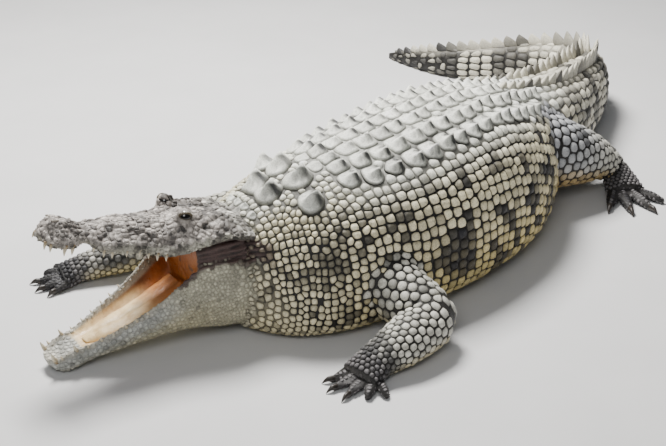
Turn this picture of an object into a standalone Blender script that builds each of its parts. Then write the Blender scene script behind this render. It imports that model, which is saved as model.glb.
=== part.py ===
"""Nile crocodile, life size, resting on its belly with the jaws agape and the tail curled to its right.

The animal faces -X and its left side faces -Y.  The floor is z = 0.  Units are metres and degrees.
The body is a spine laid on the floor, with a rounded section at every place along it.  The head and
the lower jaw are lofts in frames that turn about the jaw joint.  Limbs are tubes along smooth paths.
"""
import math

import bmesh
import bpy
import numpy as np
from mathutils import Matrix, Vector

NAME = "nile_crocodile"
FIT_GAP = 0.0004            # between two solids that touch
HEAD_LENGTH = 0.445         # snout tip to jaw joint
JAW_JOINT = (-0.095, -0.085, 0.195)
HEAD_HEADING = -14.5        # plan direction from snout to nape
UPPER_PITCH = 16.8          # the upper jaw is lifted by this
LOWER_PITCH = -21.0         # the lower jaw slopes down to its tip by this
LOWER_REACH = 1.035         # its length over the upper jaw's
LOWER_SHIFT = 0.018         # it hangs this far to the right at its tip, in head lengths
NECK_START, TAIL_TIP = -0.03, 2.64   # along the spine, from the jaw joint

# Plan direction of the spine, from head to tail: (distance from the jaw joint, degrees).
SPINE_HEADING = ((-0.10, -15), (0.0, -15), (0.14, -18), (0.30, -10), (0.50, 1), (0.70, 8), (0.95, 10),
                 (1.20, 11), (1.40, 16), (1.68, 20), (1.80, 35), (1.92, 70), (2.05, 101), (2.19, 119),
                 (2.31, 114), (2.44, 94), (2.64, 80))
# Section of the body: (distance, half width, top, widest height, bottom before it meets the floor).
BODY_SECTION = ((-0.10, 0.060, 0.200, 0.130, 0.060), (-0.03, 0.076, 0.215, 0.125, 0.040),
                (0.03, 0.140, 0.268, 0.092, 0.002), (0.08, 0.185, 0.297, 0.084, -0.008),
                (0.15, 0.222, 0.328, 0.084, -0.012), (0.26, 0.248, 0.360, 0.096, -0.012),
                (0.40, 0.258, 0.382, 0.110, -0.012), (0.55, 0.266, 0.392, 0.112, -0.014),
                (0.70, 0.264, 0.388, 0.110, -0.014), (0.85, 0.238, 0.366, 0.110, -0.012),
                (0.98, 0.194, 0.335, 0.110, -0.008), (1.10, 0.160, 0.305, 0.108, -0.006),
                (1.25, 0.137, 0.274, 0.104, -0.006), (1.45, 0.108, 0.240, 0.098, -0.005),
                (1.70, 0.080, 0.205, 0.084, -0.005), (1.95, 0.057, 0.164, 0.066, -0.004),
                (2.20, 0.038, 0.122, 0.048, -0.003), (2.44, 0.024, 0.080, 0.030, -0.003),
                (2.64, 0.007, 0.024, 0.010, -0.001))
ROUND_BACK, ROUND_BELLY = 2.2, 2.9   # powers of the section: 2 is an ellipse, more is boxier

# Lengths of the body: (node, start, end, stations, points round).
BODY_NODES = (("neck", NECK_START, 0.20, 5, 20), ("trunk_front", 0.20, 0.47, 4, 22),
              ("trunk_middle", 0.47, 0.74, 4, 22), ("trunk_rear", 0.74, 1.08, 6, 21),
              ("tail_1", 1.08, 1.34, 5, 17), ("tail_2", 1.34, 1.60, 4, 14), ("tail_3", 1.60, 1.85, 7, 14),
              ("tail_4", 1.85, 2.10, 6, 12), ("tail_5", 2.10, 2.34, 6, 10), ("tail_6", 2.34, TAIL_TIP, 6, 8))

# Tail crest: two rows that close to one.  (distance, height above the tail, half the space between rows).
CREST = ((0.94, 0.010, 0.034), (1.10, 0.016, 0.040), (1.30, 0.026, 0.042), (1.52, 0.036, 0.036),
         (1.76, 0.044, 0.020), (1.84, 0.048, 0.0), (2.02, 0.052, 0.0), (2.32, 0.042, 0.0), (2.58, 0.012, 0.0))
CREST_PITCH = ((0.94, 0.050), (1.5, 0.048), (2.0, 0.043), (2.6, 0.034))
CREST_SINK = 0.012
CREST_HALF_THICKNESS = 0.0055

# Head, in head lengths; u runs from the snout tip (0) to the jaw joint (1).
HEAD_HALF_WIDTH = ((0, .020), (.015, .062), (.04, .092), (.09, .110), (.15, .107), (.215, .094),
                   (.26, .108), (.32, .136), (.38, .150), (.45, .156), (.55, .170), (.65, .190),
                   (.75, .212), (.85, .236), (.95, .250), (1.04, .244))
HEAD_TOP = ((0, .035), (.02, .066), (.05, .092), (.12, .098), (.205, .078), (.26, .086), (.36, .108),
            (.50, .134), (.60, .150), (.70, .172), (.80, .195), (.92, .205), (1.04, .180))
HEAD_LIP = ((0, -.010), (.05, -.022), (.14, -.022), (.210, .006), (.26, -.018), (.32, -.030), (.38, -.024),
            (.47, -.014), (.60, -.020), (.66, -.008), (.72, .018), (.82, .070), (.90, .105), (1.04, .110))
HEAD_PALATE = ((0, -.008), (.10, .010), (.30, .018), (.60, .022), (.72, .045), (.82, .080), (1.04, .115))
HEAD_ROOF = ((0, .008), (.05, .040), (.12, .046), (.205, .032), (.30, .040), (.50, .055), (.62, .076),
             (.70, .102), (.80, .116), (.95, .126), (1.04, .118))
ORBIT = (.700, .112, .050, .045, .040)       # u, across, height, spread along, spread across
NOSTRIL_HUMP = (.075, .0, .012, .035, .045)
HEAD_STATIONS = (0, .014, .04, .085, .13, .165, .21, .26, .34, .46, .58, .66, .70, .74, .82, .92, 1.04)
EYE_PLACE = (.690, .108, .174)
EYE_RADIUS = .037

# Lower jaw, in head lengths below its own lip line.
JAW_HALF_WIDTH = ((0, .020), (.015, .056), (.05, .088), (.10, .100), (.16, .104), (.25, .124),
                  (.35, .146), (.50, .174), (.65, .202), (.80, .232), (.95, .260), (1.06, .262), (1.16, .232))
JAW_DEPTH = ((0, .040), (.03, .080), (.08, .098), (.25, .122), (.45, .175), (.60, .225), (.75, .305),
             (.90, .392), (1.05, .398), (1.16, .300))
JAW_LIP = ((0, .020), (.10, .024), (.30, .028), (.60, .034), (.90, .048), (1.16, .050))
JAW_FLOOR = ((0, -.006), (.06, .006), (.15, .015), (.20, .032), (.30, .052), (.50, .074), (.70, .080), (.90, .048),
             (1.16, .075))
JAW_CREST = ((0, .006), (.12, .012), (.20, -.004), (.45, .006), (.60, .030), (.70, .062), (.80, .088),
             (.88, .080), (.95, .045), (1.04, -.012), (1.16, -.075))
JAW_STATIONS = (0, .014, .04, .09, .15, .22, .32, .44, .56, .66, .75, .84, .93, 1.04, 1.16)

# Teeth: (u, length) in head lengths, on each side.
UPPER_TEETH = ((.026, .024), (.048, .024), (.115, .038), (.155, .036), (.260, .014), (.305, .018),
               (.342, .018), (.410, .013), (.475, .014), (.520, .018), (.565, .020), (.608, .018))
LOWER_TEETH = ((.036, .058), (.066, .020), (.140, .040), (.195, .016), (.260, .016), (.320, .018),
               (.385, .022), (.440, .022), (.500, .018))

# Limb paths: (x, y, z, half width, half thickness) at the root, joints and knuckles.
LIMBS = {
    "arm_left": (((.150, -.270, .138, .080, .086), (.142, -.386, .106, .068, .074),
                  (.146, -.490, .070, .062, .062), (.044, -.512, .055, .055, .050),
                  (-.040, -.502, .037, .044, .034), (-.092, -.500, .021, .048, .021)), (2, 4)),
    "arm_right": (((.190, -.020, .155, .074, .082), (.120, .128, .115, .064, .070),
                   (.030, .222, .070, .054, .056), (-.078, .266, .052, .046, .044),
                   (-.180, .312, .034, .036, .030), (-.232, .338, .020, .046, .020)), (2, 4)),
    "leg_left": (((.850, -.120, .185, .118, .118), (.952, -.218, .152, .100, .104),
                  (1.052, -.268, .118, .078, .080), (1.122, -.288, .090, .056, .056),
                  (1.178, -.308, .052, .040, .036), (1.130, -.384, .021, .056, .021)), (2, 3.9)),
    "leg_right": (((.870, -.010, .180, .115, .115), (.920, .145, .150, .090, .095),
                   (.965, .255, .120, .070, .072), (1.050, .300, .088, .055, .055),
                   (1.120, .325, .052, .040, .036), (1.084, .404, .021, .056, .021)), (2, 4)),
}
LIMB_NODES = {"arm": ("upper_arm", "forearm", "hand"), "leg": ("thigh", "shin", "foot")}
# Digits of each extremity: (direction in the plan, length without the claw, has a claw).
DIGITS = {
    "arm_left": ((150, .050, True), (168, .062, True), (188, .064, True), (211, .056, False),
                 (240, .044, False)),
    "arm_right": ((186, .050, True), (167, .062, True), (147, .064, True), (124, .056, False),
                  (96, .044, False)),
    "leg_left": ((206, .088, True), (227, .106, True), (248, .108, True), (271, .094, False)),
    "leg_right": ((150, .088, True), (128, .106, True), (106, .108, True), (83, .094, False)),
}
DIGIT_RADIUS = {"arm": .0130, "leg": .0155}
CLAW_LENGTH = {"arm": .024, "leg": .029}
KNUCKLE_SPREAD = {"arm": .030, "leg": .036}

COLOURS = {"hide": (0.165, 0.150, 0.112), "tooth": (0.640, 0.560, 0.410), "claw": (0.045, 0.038, 0.032),
           "eye": (0.030, 0.022, 0.010), "mouth": (0.560, 0.400, 0.170)}
ROUGHNESS = {"hide": 0.55, "tooth": 0.35, "claw": 0.40, "eye": 0.08, "mouth": 0.45}


def curve_value(table, x, column=1):
    """Smooth value of a table at x, with no overshoot between its rows."""
    keys = np.array([row[0] for row in table], float)
    values = np.array([row[column] for row in table], float)
    step = np.diff(keys)
    slope = np.diff(values) / step
    tangent = np.concatenate((slope[:1], (slope[:-1] + slope[1:]) / 2, slope[-1:]))
    turning = slope[:-1] * slope[1:] <= 0
    tangent[1:-1][turning] = 0
    steepest = 3 * np.minimum(np.abs(slope[:-1]), np.abs(slope[1:]))
    tangent[1:-1] = np.clip(tangent[1:-1], -steepest, steepest)
    x = np.clip(x, keys[0], keys[-1])
    i = np.clip(np.searchsorted(keys, x, side="right") - 1, 0, len(step) - 1)
    t = (x - keys[i]) / step[i]
    return (values[i] * (1 + 2 * t) * (1 - t) ** 2 + values[i + 1] * t * t * (3 - 2 * t)
            + step[i] * t * (1 - t) * (tangent[i] * (1 - t) - tangent[i + 1] * t))


def lay_spine():
    """Distances along the spine with the plan place and heading at each."""
    step = 0.002
    along = np.arange(SPINE_HEADING[0][0], TAIL_TIP + step, step)
    heading = np.radians(curve_value(SPINE_HEADING, along))
    x, y = np.cumsum(np.cos(heading)) * step, np.cumsum(np.sin(heading)) * step
    joint = np.searchsorted(along, 0.0)
    return along, x - x[joint] + JAW_JOINT[0], y - y[joint] + JAW_JOINT[1], heading


SPINE = lay_spine()


def spine_frame(distance):
    """Place on the floor under the spine, direction to the tail, and direction to the animal's right."""
    along, x, y, heading = SPINE
    turn = np.interp(distance, along, heading)
    place = np.array((np.interp(distance, along, x), np.interp(distance, along, y), 0.0))
    return place, np.array((math.cos(turn), math.sin(turn), 0)), np.array((-math.sin(turn), math.cos(turn), 0))


def body_ring(distance, points):
    """Section of the body, flattened where it meets the floor."""
    half, top, widest, bottom = (curve_value(BODY_SECTION, distance, c) for c in (1, 2, 3, 4))
    angle = (np.arange(points) + 0.5) / points * 2 * math.pi
    power = 2 / np.where(np.sin(angle) > 0, ROUND_BACK, ROUND_BELLY)
    across = half * np.sign(np.cos(angle)) * np.abs(np.cos(angle)) ** power
    lift = np.sign(np.sin(angle)) * np.abs(np.sin(angle)) ** power
    height = widest + lift * np.where(lift > 0, top - widest, widest - bottom)
    place, _, right = spine_frame(distance)
    ring = place + across[:, None] * right
    ring[:, 2] = np.maximum(height, 0)
    return ring


def material(name):
    """A plain Principled material of one of the named colours."""
    made = bpy.data.materials.new(name)
    made.use_nodes = True
    shader = made.node_tree.nodes["Principled BSDF"]
    shader.inputs["Base Color"].default_value = (*COLOURS[name.split(".")[0]], 1)
    shader.inputs["Roughness"].default_value = ROUGHNESS[name.split(".")[0]]
    return made


def add_object(name, mesh, collection, kind="hide"):
    """Put a mesh in the collection as a named object with its own material."""
    made = bpy.data.objects.new(name, mesh)
    bpy.data.collections[collection].objects.link(made)
    if collection == NAME:
        mesh.materials.append(material(f"{kind}.{name}"))
    else:
        made.hide_render = True
        made.display_type = "WIRE"
    return made


def loft(rings, name, collection=NAME, kind="hide"):
    """A closed skin over rings of equal count, with a fan over each end."""
    build = bmesh.new()
    layers = [[build.verts.new(point) for point in ring] for ring in rings]
    for near, far in zip(layers, layers[1:]):
        for i, corner in enumerate(near):
            j = (i + 1) % len(near)
            build.faces.new((corner, near[j], far[j], far[i]))
    for layer in (layers[0][::-1], layers[-1]):
        middle = build.verts.new(sum((v.co for v in layer), Vector()) / len(layer))
        for i, corner in enumerate(layer):
            build.faces.new((corner, layer[(i + 1) % len(layer)], middle))
    if build.calc_volume(signed=True) < 0:
        bmesh.ops.reverse_faces(build, faces=build.faces)
    bmesh.ops.triangulate(build, faces=build.faces)
    mesh = bpy.data.meshes.new(name)
    build.to_mesh(mesh)
    build.free()
    mesh.shade_smooth()
    return add_object(name, mesh, collection, kind)


def boolean(target, other, operation):
    """Join or cut with another object, which is hidden from the result."""
    change = target.modifiers.new(f"{operation.lower()} {other.name}", "BOOLEAN")
    change.operation = operation
    change.object = other
    change.solver = "EXACT"
    change.use_self = operation == "UNION"


def cut_clear(target, *obstacles):
    """Cut the target back so that it keeps a small gap to each obstacle."""
    for obstacle in obstacles:
        cutter_name = f"{obstacle.name}_cutter"
        cutter = bpy.data.objects.get(cutter_name)
        if cutter is None:
            cutter = obstacle.copy()
            cutter.data = obstacle.data.copy()
            cutter.name = cutter_name
            cutter.modifiers.clear()
            bpy.data.collections["cutters"].objects.link(cutter)
            cutter.hide_render = True
            cutter.display_type = "WIRE"
            grow = cutter.modifiers.new("clearance", "DISPLACE")
            grow.strength, grow.mid_level = 2 * FIT_GAP, 0
        boolean(target, cutter, "DIFFERENCE")


def spikes(matrices, name, sides):
    """Cones one unit high on unit bases, each placed by a matrix, to be joined to what they grow from."""
    build = bmesh.new()
    for matrix in matrices:
        bmesh.ops.create_cone(build, cap_ends=True, segments=sides, radius1=1, radius2=0, depth=1,
                              matrix=matrix @ Matrix.Translation((0, 0, 0.5)))
    if build.calc_volume(signed=True) < 0:
        bmesh.ops.reverse_faces(build, faces=build.faces)
    mesh = bpy.data.meshes.new(name)
    build.to_mesh(mesh)
    build.free()
    return add_object(name, mesh, "cutters")


def axes_matrix(x_axis, y_axis, z_axis, place):
    """Matrix with these columns."""
    columns = [Vector(axis).to_4d() for axis in (x_axis, y_axis, z_axis)]
    for column in columns:
        column.w = 0
    return Matrix((*columns, (*place, 1))).transposed()


def body_lengths():
    """Neck, trunk and tail, each a loft over its own stretch of the spine."""
    made = {}
    for name, start, end, stations, points in BODY_NODES:
        first = start + (0 if name == "neck" else FIT_GAP / 2)
        last = end - (0 if name == "tail_6" else FIT_GAP / 2)
        places = np.linspace(first, last, stations)
        made[name] = loft([body_ring(s, points) for s in places], name)
    return made


def crest_places():
    """Stations of the tail crest plates with the side of the row each stands in."""
    places, along = [], CREST[0][0]
    while along < CREST[-1][0]:
        spread = curve_value(CREST, along, 2)
        sides = (-1, 1) if spread > 0.012 else (0,)
        places += [(along, side) for side in sides]
        along += curve_value(CREST_PITCH, along)
    return places


def add_crest(lengths):
    """Leaning plates along the top of the tail, joined to the length they stand on."""
    for name, start, end, *_ in BODY_NODES:
        matrices = []
        for along, side in crest_places():
            pitch = curve_value(CREST_PITCH, along)
            if not start + pitch * 0.5 < along <= end - pitch * 0.5 + 0.02:
                continue
            along = min(along, end - pitch * 0.56)
            height, spread = curve_value(CREST, along, 1), curve_value(CREST, along, 2)
            half, top, widest = (curve_value(BODY_SECTION, along, c) for c in (1, 2, 3))
            rise = max(1 - abs(side * spread / half) ** ROUND_BACK, 0) ** (1 / ROUND_BACK)
            foot = widest + (top - widest) * rise - CREST_SINK
            place, back, right = spine_frame(along)
            base = place + side * spread * right + np.array((0, 0, foot))
            lean = 0.45 * pitch * back + np.array((0, 0, height + CREST_SINK)) + side * 0.2 * height * right
            matrices.append(axes_matrix(back * pitch * 0.47, right * CREST_HALF_THICKNESS * 2, lean, base))
        if matrices:
            boolean(lengths[name], spikes(matrices, f"{name}_crest", 4), "UNION")


def jaw_place(u, across, up, pitch):
    """World place of a point given in head lengths in the frame of one jaw."""
    turn, tilt = math.radians(HEAD_HEADING), math.radians(pitch)
    forward = np.array((-math.cos(turn), -math.sin(turn), 0))
    right = np.array((-math.sin(turn), math.cos(turn), 0))
    rise = np.array((0, 0, 1))
    axis = forward * math.cos(tilt) + rise * math.sin(tilt)
    upright = rise * math.cos(tilt) - forward * math.sin(tilt)
    u, across, up = (np.atleast_1d(value)[:, None] for value in (u, across, up))
    ahead = (1 - u) * (LOWER_REACH if pitch == LOWER_PITCH else 1)
    across = across + (LOWER_SHIFT * ahead if pitch == LOWER_PITCH else 0)
    return np.array(JAW_JOINT) + HEAD_LENGTH * (ahead * axis + across * right + up * upright)


def mirrored(half):
    """A closed section from the half that runs down the animal's right side."""
    other = [(-across, up) for across, up in half[-2:0:-1]]
    return np.array(list(half) + other)


def bump(u, across, shape):
    """Height of a rounded swelling at a place on the head."""
    centre, side, height, along, spread = shape
    return height * np.exp(-((u - centre) / along) ** 2 - ((np.abs(across) - side) / spread) ** 2)


def head_ring(u):
    """Section of the upper head, from the skull roof round the lip to the palate."""
    half, top, lip, palate, roof = (float(curve_value(table, u)) for table in
                                    (HEAD_HALF_WIDTH, HEAD_TOP, HEAD_LIP, HEAD_PALATE, HEAD_ROOF))
    widest = lip + 0.34 * (top - lip)
    palate = max(palate, lip + 0.004)
    edge = top - 0.06 * (top - widest)
    slope = [(roof + (half - roof) * out, widest + (edge - widest) * rise) for out, rise in
             ((0.18, 0.89), (0.52, 0.62), (0.86, 0.26))]
    section = mirrored([(0, top), (roof * 0.5, top), (roof, edge), *slope, (half, widest),
                        (half * 0.95, lip), (half * 0.80, palate - 0.004),
                        (half * 0.45, palate), (0, palate)])
    raised = section[:, 1] > widest + 0.2 * (top - widest)
    lift = bump(u, section[:, 0], ORBIT) + bump(u, section[:, 0], NOSTRIL_HUMP)
    section[:, 1] += np.where(raised, lift, 0)
    return jaw_place(u, section[:, 0], section[:, 1], UPPER_PITCH)


def jaw_ring(u):
    """Section of the lower jaw: a trough with rounded lips."""
    half, depth, lip, floor, crest = (float(curve_value(table, u)) for table in
                                      (JAW_HALF_WIDTH, JAW_DEPTH, JAW_LIP, JAW_FLOOR, JAW_CREST))
    lip = min(lip, half * 0.45)
    section = mirrored([(0, -floor), ((half - lip) * 0.70, -floor), (half - lip, 0.75 * crest - 0.25 * floor),
                        (half - lip * 0.65, crest), (half - lip * 0.18, crest - 0.004),
                        (half, crest - 0.20 * depth), (half * 0.99, -0.52 * depth), (half * 0.86, -0.82 * depth),
                        (half * 0.50, -0.98 * depth), (0, -depth)])
    ring = jaw_place(u, section[:, 0], section[:, 1], LOWER_PITCH)
    ring[:, 2] = np.maximum(ring[:, 2], 0)
    return ring


def tooth_matrices(teeth, width_table, level_table, pitch, down):
    """Places of the teeth of one jaw, leaning a little outwards."""
    matrices = []
    for u, length in teeth:
        half, level = float(curve_value(width_table, u)), float(curve_value(level_table, u))
        for side in (-1, 1):
            across = side * (half - 0.016)
            sign = -1 if down else 1
            root = jaw_place(u, across, level - sign * 0.020, pitch)[0]
            crown = jaw_place(u - 0.006, across * 1.06 + side * 0.008, level + sign * length, pitch)[0]
            axis = Vector(crown - root)
            cross = axis.orthogonal().normalized()
            radius = HEAD_LENGTH * (0.0075 + 0.17 * length)
            matrices.append(axes_matrix(cross * radius, axis.cross(cross).normalized() * radius, axis, root))
    return matrices


def head_and_jaw(neck):
    """Upper head, lower jaw, the flesh at the back of the mouth, and the tongue, with the neck cut to fit."""
    jaw = loft([jaw_ring(u) for u in JAW_STATIONS], "lower_jaw")
    head = loft([head_ring(u) for u in HEAD_STATIONS], "head")
    gullet = loft([gullet_ring(u) for u in (.735, .79, .85, .92, .99)], "mouth_rear", kind="mouth")
    tongue = loft([tongue_ring(u) for u in (.20, .25, .36, .48, .60, .715)], "tongue", kind="mouth")
    cut_clear(neck, jaw, head, gullet)
    cut_clear(head, jaw)
    cut_clear(gullet, jaw, head)
    cut_clear(tongue, jaw)
    return head, jaw


def gullet_ring(u):
    """Section of the flesh between the jaws behind the tongue, sunk into both before it is cut."""
    low = jaw_place(u, 0, -float(curve_value(JAW_FLOOR, u)) - 0.03, LOWER_PITCH)[0]
    high = jaw_place(u, 0, float(curve_value(HEAD_PALATE, u)) + 0.03, UPPER_PITCH)[0]
    half = HEAD_LENGTH * (float(curve_value(JAW_HALF_WIDTH, u)) - float(curve_value(JAW_LIP, u)) * 0.55)
    turn = math.radians(HEAD_HEADING)
    right = np.array((-math.sin(turn), math.cos(turn), 0))
    ring = []
    for angle in np.arange(14) / 14 * 2 * math.pi:
        rise = math.copysign(abs(math.sin(angle)) ** 0.7, math.sin(angle))
        out = math.copysign(abs(math.cos(angle)) ** 0.8, math.cos(angle))
        ring.append((low + high) / 2 + (high - low) / 2 * rise + right * half * out)
    return ring


def tongue_ring(u):
    """Section of the tongue, low and broad, sunk into the floor of the jaw before it is cut."""
    floor = float(curve_value(JAW_FLOOR, u))
    half = (float(curve_value(JAW_HALF_WIDTH, u)) - float(curve_value(JAW_LIP, u))) * 0.80
    rise = 0.034 * min(1, (u - .18) / .08)
    angle = np.arange(12) / 12 * 2 * math.pi
    return jaw_place(u, half * np.cos(angle), -floor + rise * np.sin(angle), LOWER_PITCH)


def add_eyes(head):
    """Eyeballs in sockets under the brow humps."""
    for side, name in ((-1, "eye_left"), (1, "eye_right")):
        u, across, up = EYE_PLACE
        place = jaw_place(u, side * across, up, UPPER_PITCH)[0]
        bpy.ops.mesh.primitive_uv_sphere_add(segments=12, ring_count=6, radius=EYE_RADIUS * HEAD_LENGTH,
                                             location=place)
        eye = bpy.context.object
        eye.name = name
        for collection in list(eye.users_collection):
            collection.objects.unlink(eye)
        bpy.data.collections[NAME].objects.link(eye)
        eye.data.materials.append(material(f"eye.{name}"))
        eye.data.shade_smooth()
        cut_clear(head, eye)


def path_points(rows, stations):
    """Smooth path through the rows of a limb, sampled at fractions of its rows."""
    rows = np.array(rows)
    keys = np.arange(len(rows))
    table = [(k, *row) for k, row in zip(keys, rows)]
    return np.array([[float(curve_value(table, s, c)) for c in range(1, 6)] for s in stations])


def limb_rings(rows, stations, points, upright=False):
    """Rings square to the path of a limb, or upright ones, held above the floor."""
    samples = path_points(rows, stations)
    turning = np.round(stations, 2)     # so that the two faces at a split are parallel
    ahead = path_points(rows, np.minimum(turning + 0.02, len(rows) - 1))
    behind = path_points(rows, np.maximum(turning - 0.02, 0))
    rings = []
    angle = np.arange(points) / points * 2 * math.pi
    for sample, late, early in zip(samples, ahead, behind):
        along = Vector((late[:3] - early[:3]) * (1, 1, 0 if upright else 1)).normalized()
        side = along.cross(Vector((0, 0, 1))).normalized()
        up = side.cross(along)
        ring = (sample[:3] + np.outer(np.cos(angle) * sample[3], side) + np.outer(np.sin(angle) * sample[4], up))
        ring[:, 2] = np.maximum(ring[:, 2], 0)
        rings.append(ring)
    return rings


def add_limb(limb, body):
    """Three lengths of a limb, its digits joined to the last, and its claws."""
    kind, side = limb.split("_")
    rows, splits = LIMBS[limb]
    upper, middle, last = (f"{name}_{side}" for name in LIMB_NODES[kind])
    lengths = np.linalg.norm(np.diff(np.array(rows)[:, :3], axis=0), axis=1)
    gap = [FIT_GAP / 2 / lengths[math.ceil(split) - 1] for split in splits]
    spans = ((0, splits[0] - gap[0], 7), (splits[0] + gap[0], splits[1] - gap[1], 6),
             (splits[1] + gap[1], len(rows) - 1, 3))
    made = [loft(limb_rings(rows, np.linspace(a, b, n), 11), name)
            for (a, b, n), name in zip(spans, (upper, middle, last))]
    cut_clear(made[0], *body)
    cut_clear(made[1], made[0], *body)
    add_digits(limb, made[2])
    cut_clear(made[2], made[1])


def add_digits(limb, hand):
    """Digits spread from the knuckles, each joined to the hand, with claws on the inner three."""
    kind, side = limb.split("_")
    rows = np.array(LIMBS[limb][0])
    wrist, knuckle = rows[-2, :3], rows[-1, :3]
    forward = Vector((knuckle - wrist)[:2]).to_3d().normalized()
    for number, (direction, length, clawed) in enumerate(DIGITS[limb], 1):
        aim = np.array((math.cos(math.radians(direction)), math.sin(math.radians(direction)), 0))
        sideways = aim - np.array(forward) * float(np.dot(aim, forward))
        root = knuckle - 0.030 * np.array(forward) + KNUCKLE_SPREAD[kind] * sideways
        radius = DIGIT_RADIUS[kind] * (1 - 0.02 * number)
        path = [(*(root[:2] + aim[:2] * reach), radius * high, radius * wide, radius * high)
                for reach, wide, high in ((0.0, 1.05, 1.0), (0.35 * length + 0.02, 1.10, 1.0),
                                          (0.70 * length + 0.02, 0.95, 0.9), (length + 0.02, 0.62, 0.62))]
        digit = loft(limb_rings(path, np.linspace(0, 3, 4), 5, True), f"{hand.name}_digit_{number}", "cutters")
        boolean(hand, digit, "UNION")
        if clawed:
            tip = np.array(path[-1][:3])
            add_claw(f"{hand.name}_claw_{number}", tip, aim, radius * 0.56, CLAW_LENGTH[kind])


def add_claw(name, tip, aim, radius, length):
    """A short curved claw just past the end of a digit."""
    start = tip + aim * (FIT_GAP + 0.0001)
    rows = [(*(start[:2] + aim[:2] * length * t), max(start[2] + radius * lift, radius * size * 0.9),
             radius * size * 0.8, radius * size)
            for t, lift, size in ((0, 0.1, 1.0), (0.5, 0.15, 0.72), (1.0, -0.95, 0.12))]
    loft(limb_rings(rows, np.linspace(0, 2, 3), 4, True), name, kind="claw")


def centre_on_floor():
    """Parent everything to an empty that brings the middle of the floor plan to the origin."""
    bpy.context.view_layer.update()
    graph = bpy.context.evaluated_depsgraph_get()
    corners = [item.evaluated_get(graph).matrix_world @ vertex.co
               for item in bpy.data.collections[NAME].objects
               for vertex in item.evaluated_get(graph).data.vertices]
    low = [min(corner[axis] for corner in corners) for axis in (0, 1)]
    high = [max(corner[axis] for corner in corners) for axis in (0, 1)]
    root = bpy.data.objects.new("floor_centre", None)
    bpy.context.scene.collection.objects.link(root)
    root.location = (-(low[0] + high[0]) / 2, -(low[1] + high[1]) / 2, 0)
    for item in list(bpy.data.objects):
        if item is not root:
            item.parent = root


def main():
    for item in list(bpy.data.objects):
        bpy.data.objects.remove(item, do_unlink=True)
    for name in (NAME, "cutters"):
        bpy.context.scene.collection.children.link(bpy.data.collections.new(name))
    lengths = body_lengths()
    head, jaw = head_and_jaw(lengths["neck"])
    add_eyes(head)
    for limb in LIMBS:
        near = ("neck", "trunk_front", "trunk_middle") if limb.startswith("arm") else (
            "trunk_middle", "trunk_rear", "tail_1")
        add_limb(limb, [lengths[name] for name in near])
    add_crest(lengths)
    boolean(head, spikes(tooth_matrices(UPPER_TEETH, HEAD_HALF_WIDTH, HEAD_LIP, UPPER_PITCH, True),
                         "upper_teeth", 4), "UNION")
    boolean(jaw, spikes(tooth_matrices(LOWER_TEETH, JAW_HALF_WIDTH, JAW_CREST, LOWER_PITCH, False),
                        "lower_teeth", 4), "UNION")
    centre_on_floor()


main()
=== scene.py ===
"""Nile crocodile at rest with open jaws: one skin, a coat of solid scales, eyes, teeth, claws and tongue.

The animal faces -X and its left side faces -Y.  The floor is z = 0.  Units are metres and degrees.
The skin is lofted round a spine laid on the floor and round the axes of the jaws and limbs.  Each scale
grows from a root on the skin and fills the room between its neighbours.
"""
import math

import bmesh
import bpy
import numpy as np
from bpy.props import FloatProperty, FloatVectorProperty, IntProperty
from mathutils import Matrix, Vector
from mathutils.bvhtree import BVHTree
from mathutils.kdtree import KDTree


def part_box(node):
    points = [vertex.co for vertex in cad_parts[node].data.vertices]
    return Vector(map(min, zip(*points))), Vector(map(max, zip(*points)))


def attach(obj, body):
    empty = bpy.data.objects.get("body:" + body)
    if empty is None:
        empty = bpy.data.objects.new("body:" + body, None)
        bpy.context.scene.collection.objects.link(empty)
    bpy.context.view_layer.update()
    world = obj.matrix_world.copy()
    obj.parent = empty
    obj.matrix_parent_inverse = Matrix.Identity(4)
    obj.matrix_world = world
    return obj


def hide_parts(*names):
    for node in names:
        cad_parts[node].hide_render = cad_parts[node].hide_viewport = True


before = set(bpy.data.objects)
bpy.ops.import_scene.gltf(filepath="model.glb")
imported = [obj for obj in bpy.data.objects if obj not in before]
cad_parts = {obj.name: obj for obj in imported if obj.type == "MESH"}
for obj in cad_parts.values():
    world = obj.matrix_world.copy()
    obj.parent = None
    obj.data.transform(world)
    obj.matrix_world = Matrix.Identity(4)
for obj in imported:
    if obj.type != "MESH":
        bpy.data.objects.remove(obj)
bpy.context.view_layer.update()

bl_info = {
    "name": "Nile crocodile",
    "version": (1, 0, 0),
    "blender": (4, 5, 0),
    "location": "3D View > Sidebar > Crocodile",
    "description": "Builds the skin, scales, eyes, teeth, claws and tongue of a nile crocodile",
    "category": "Object",
}

HEAD_LENGTH = 0.445         # snout tip to jaw joint
JAW_JOINT = np.array((-0.095, -0.085, 0.195))
HEAD_HEADING, UPPER_PITCH, LOWER_PITCH = -14.5, 16.8, -21.0
LOWER_REACH = 1.035         # length of the lower jaw over the upper one's
LOWER_SHIFT = 0.018         # it hangs this far to the right at its tip, in head lengths
NECK_START, TAIL_TIP = -0.03, 2.64   # along the spine, from the jaw joint

# Plan direction of the spine: (distance from the jaw joint, degrees).
SPINE_HEADING = ((-0.10, -15), (0.0, -15), (0.14, -18), (0.30, -10), (0.50, 1), (0.70, 8), (0.95, 10),
                 (1.20, 11), (1.40, 16), (1.68, 20), (1.80, 35), (1.92, 70), (2.05, 101), (2.19, 119),
                 (2.31, 114), (2.44, 94), (2.64, 80))
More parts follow.
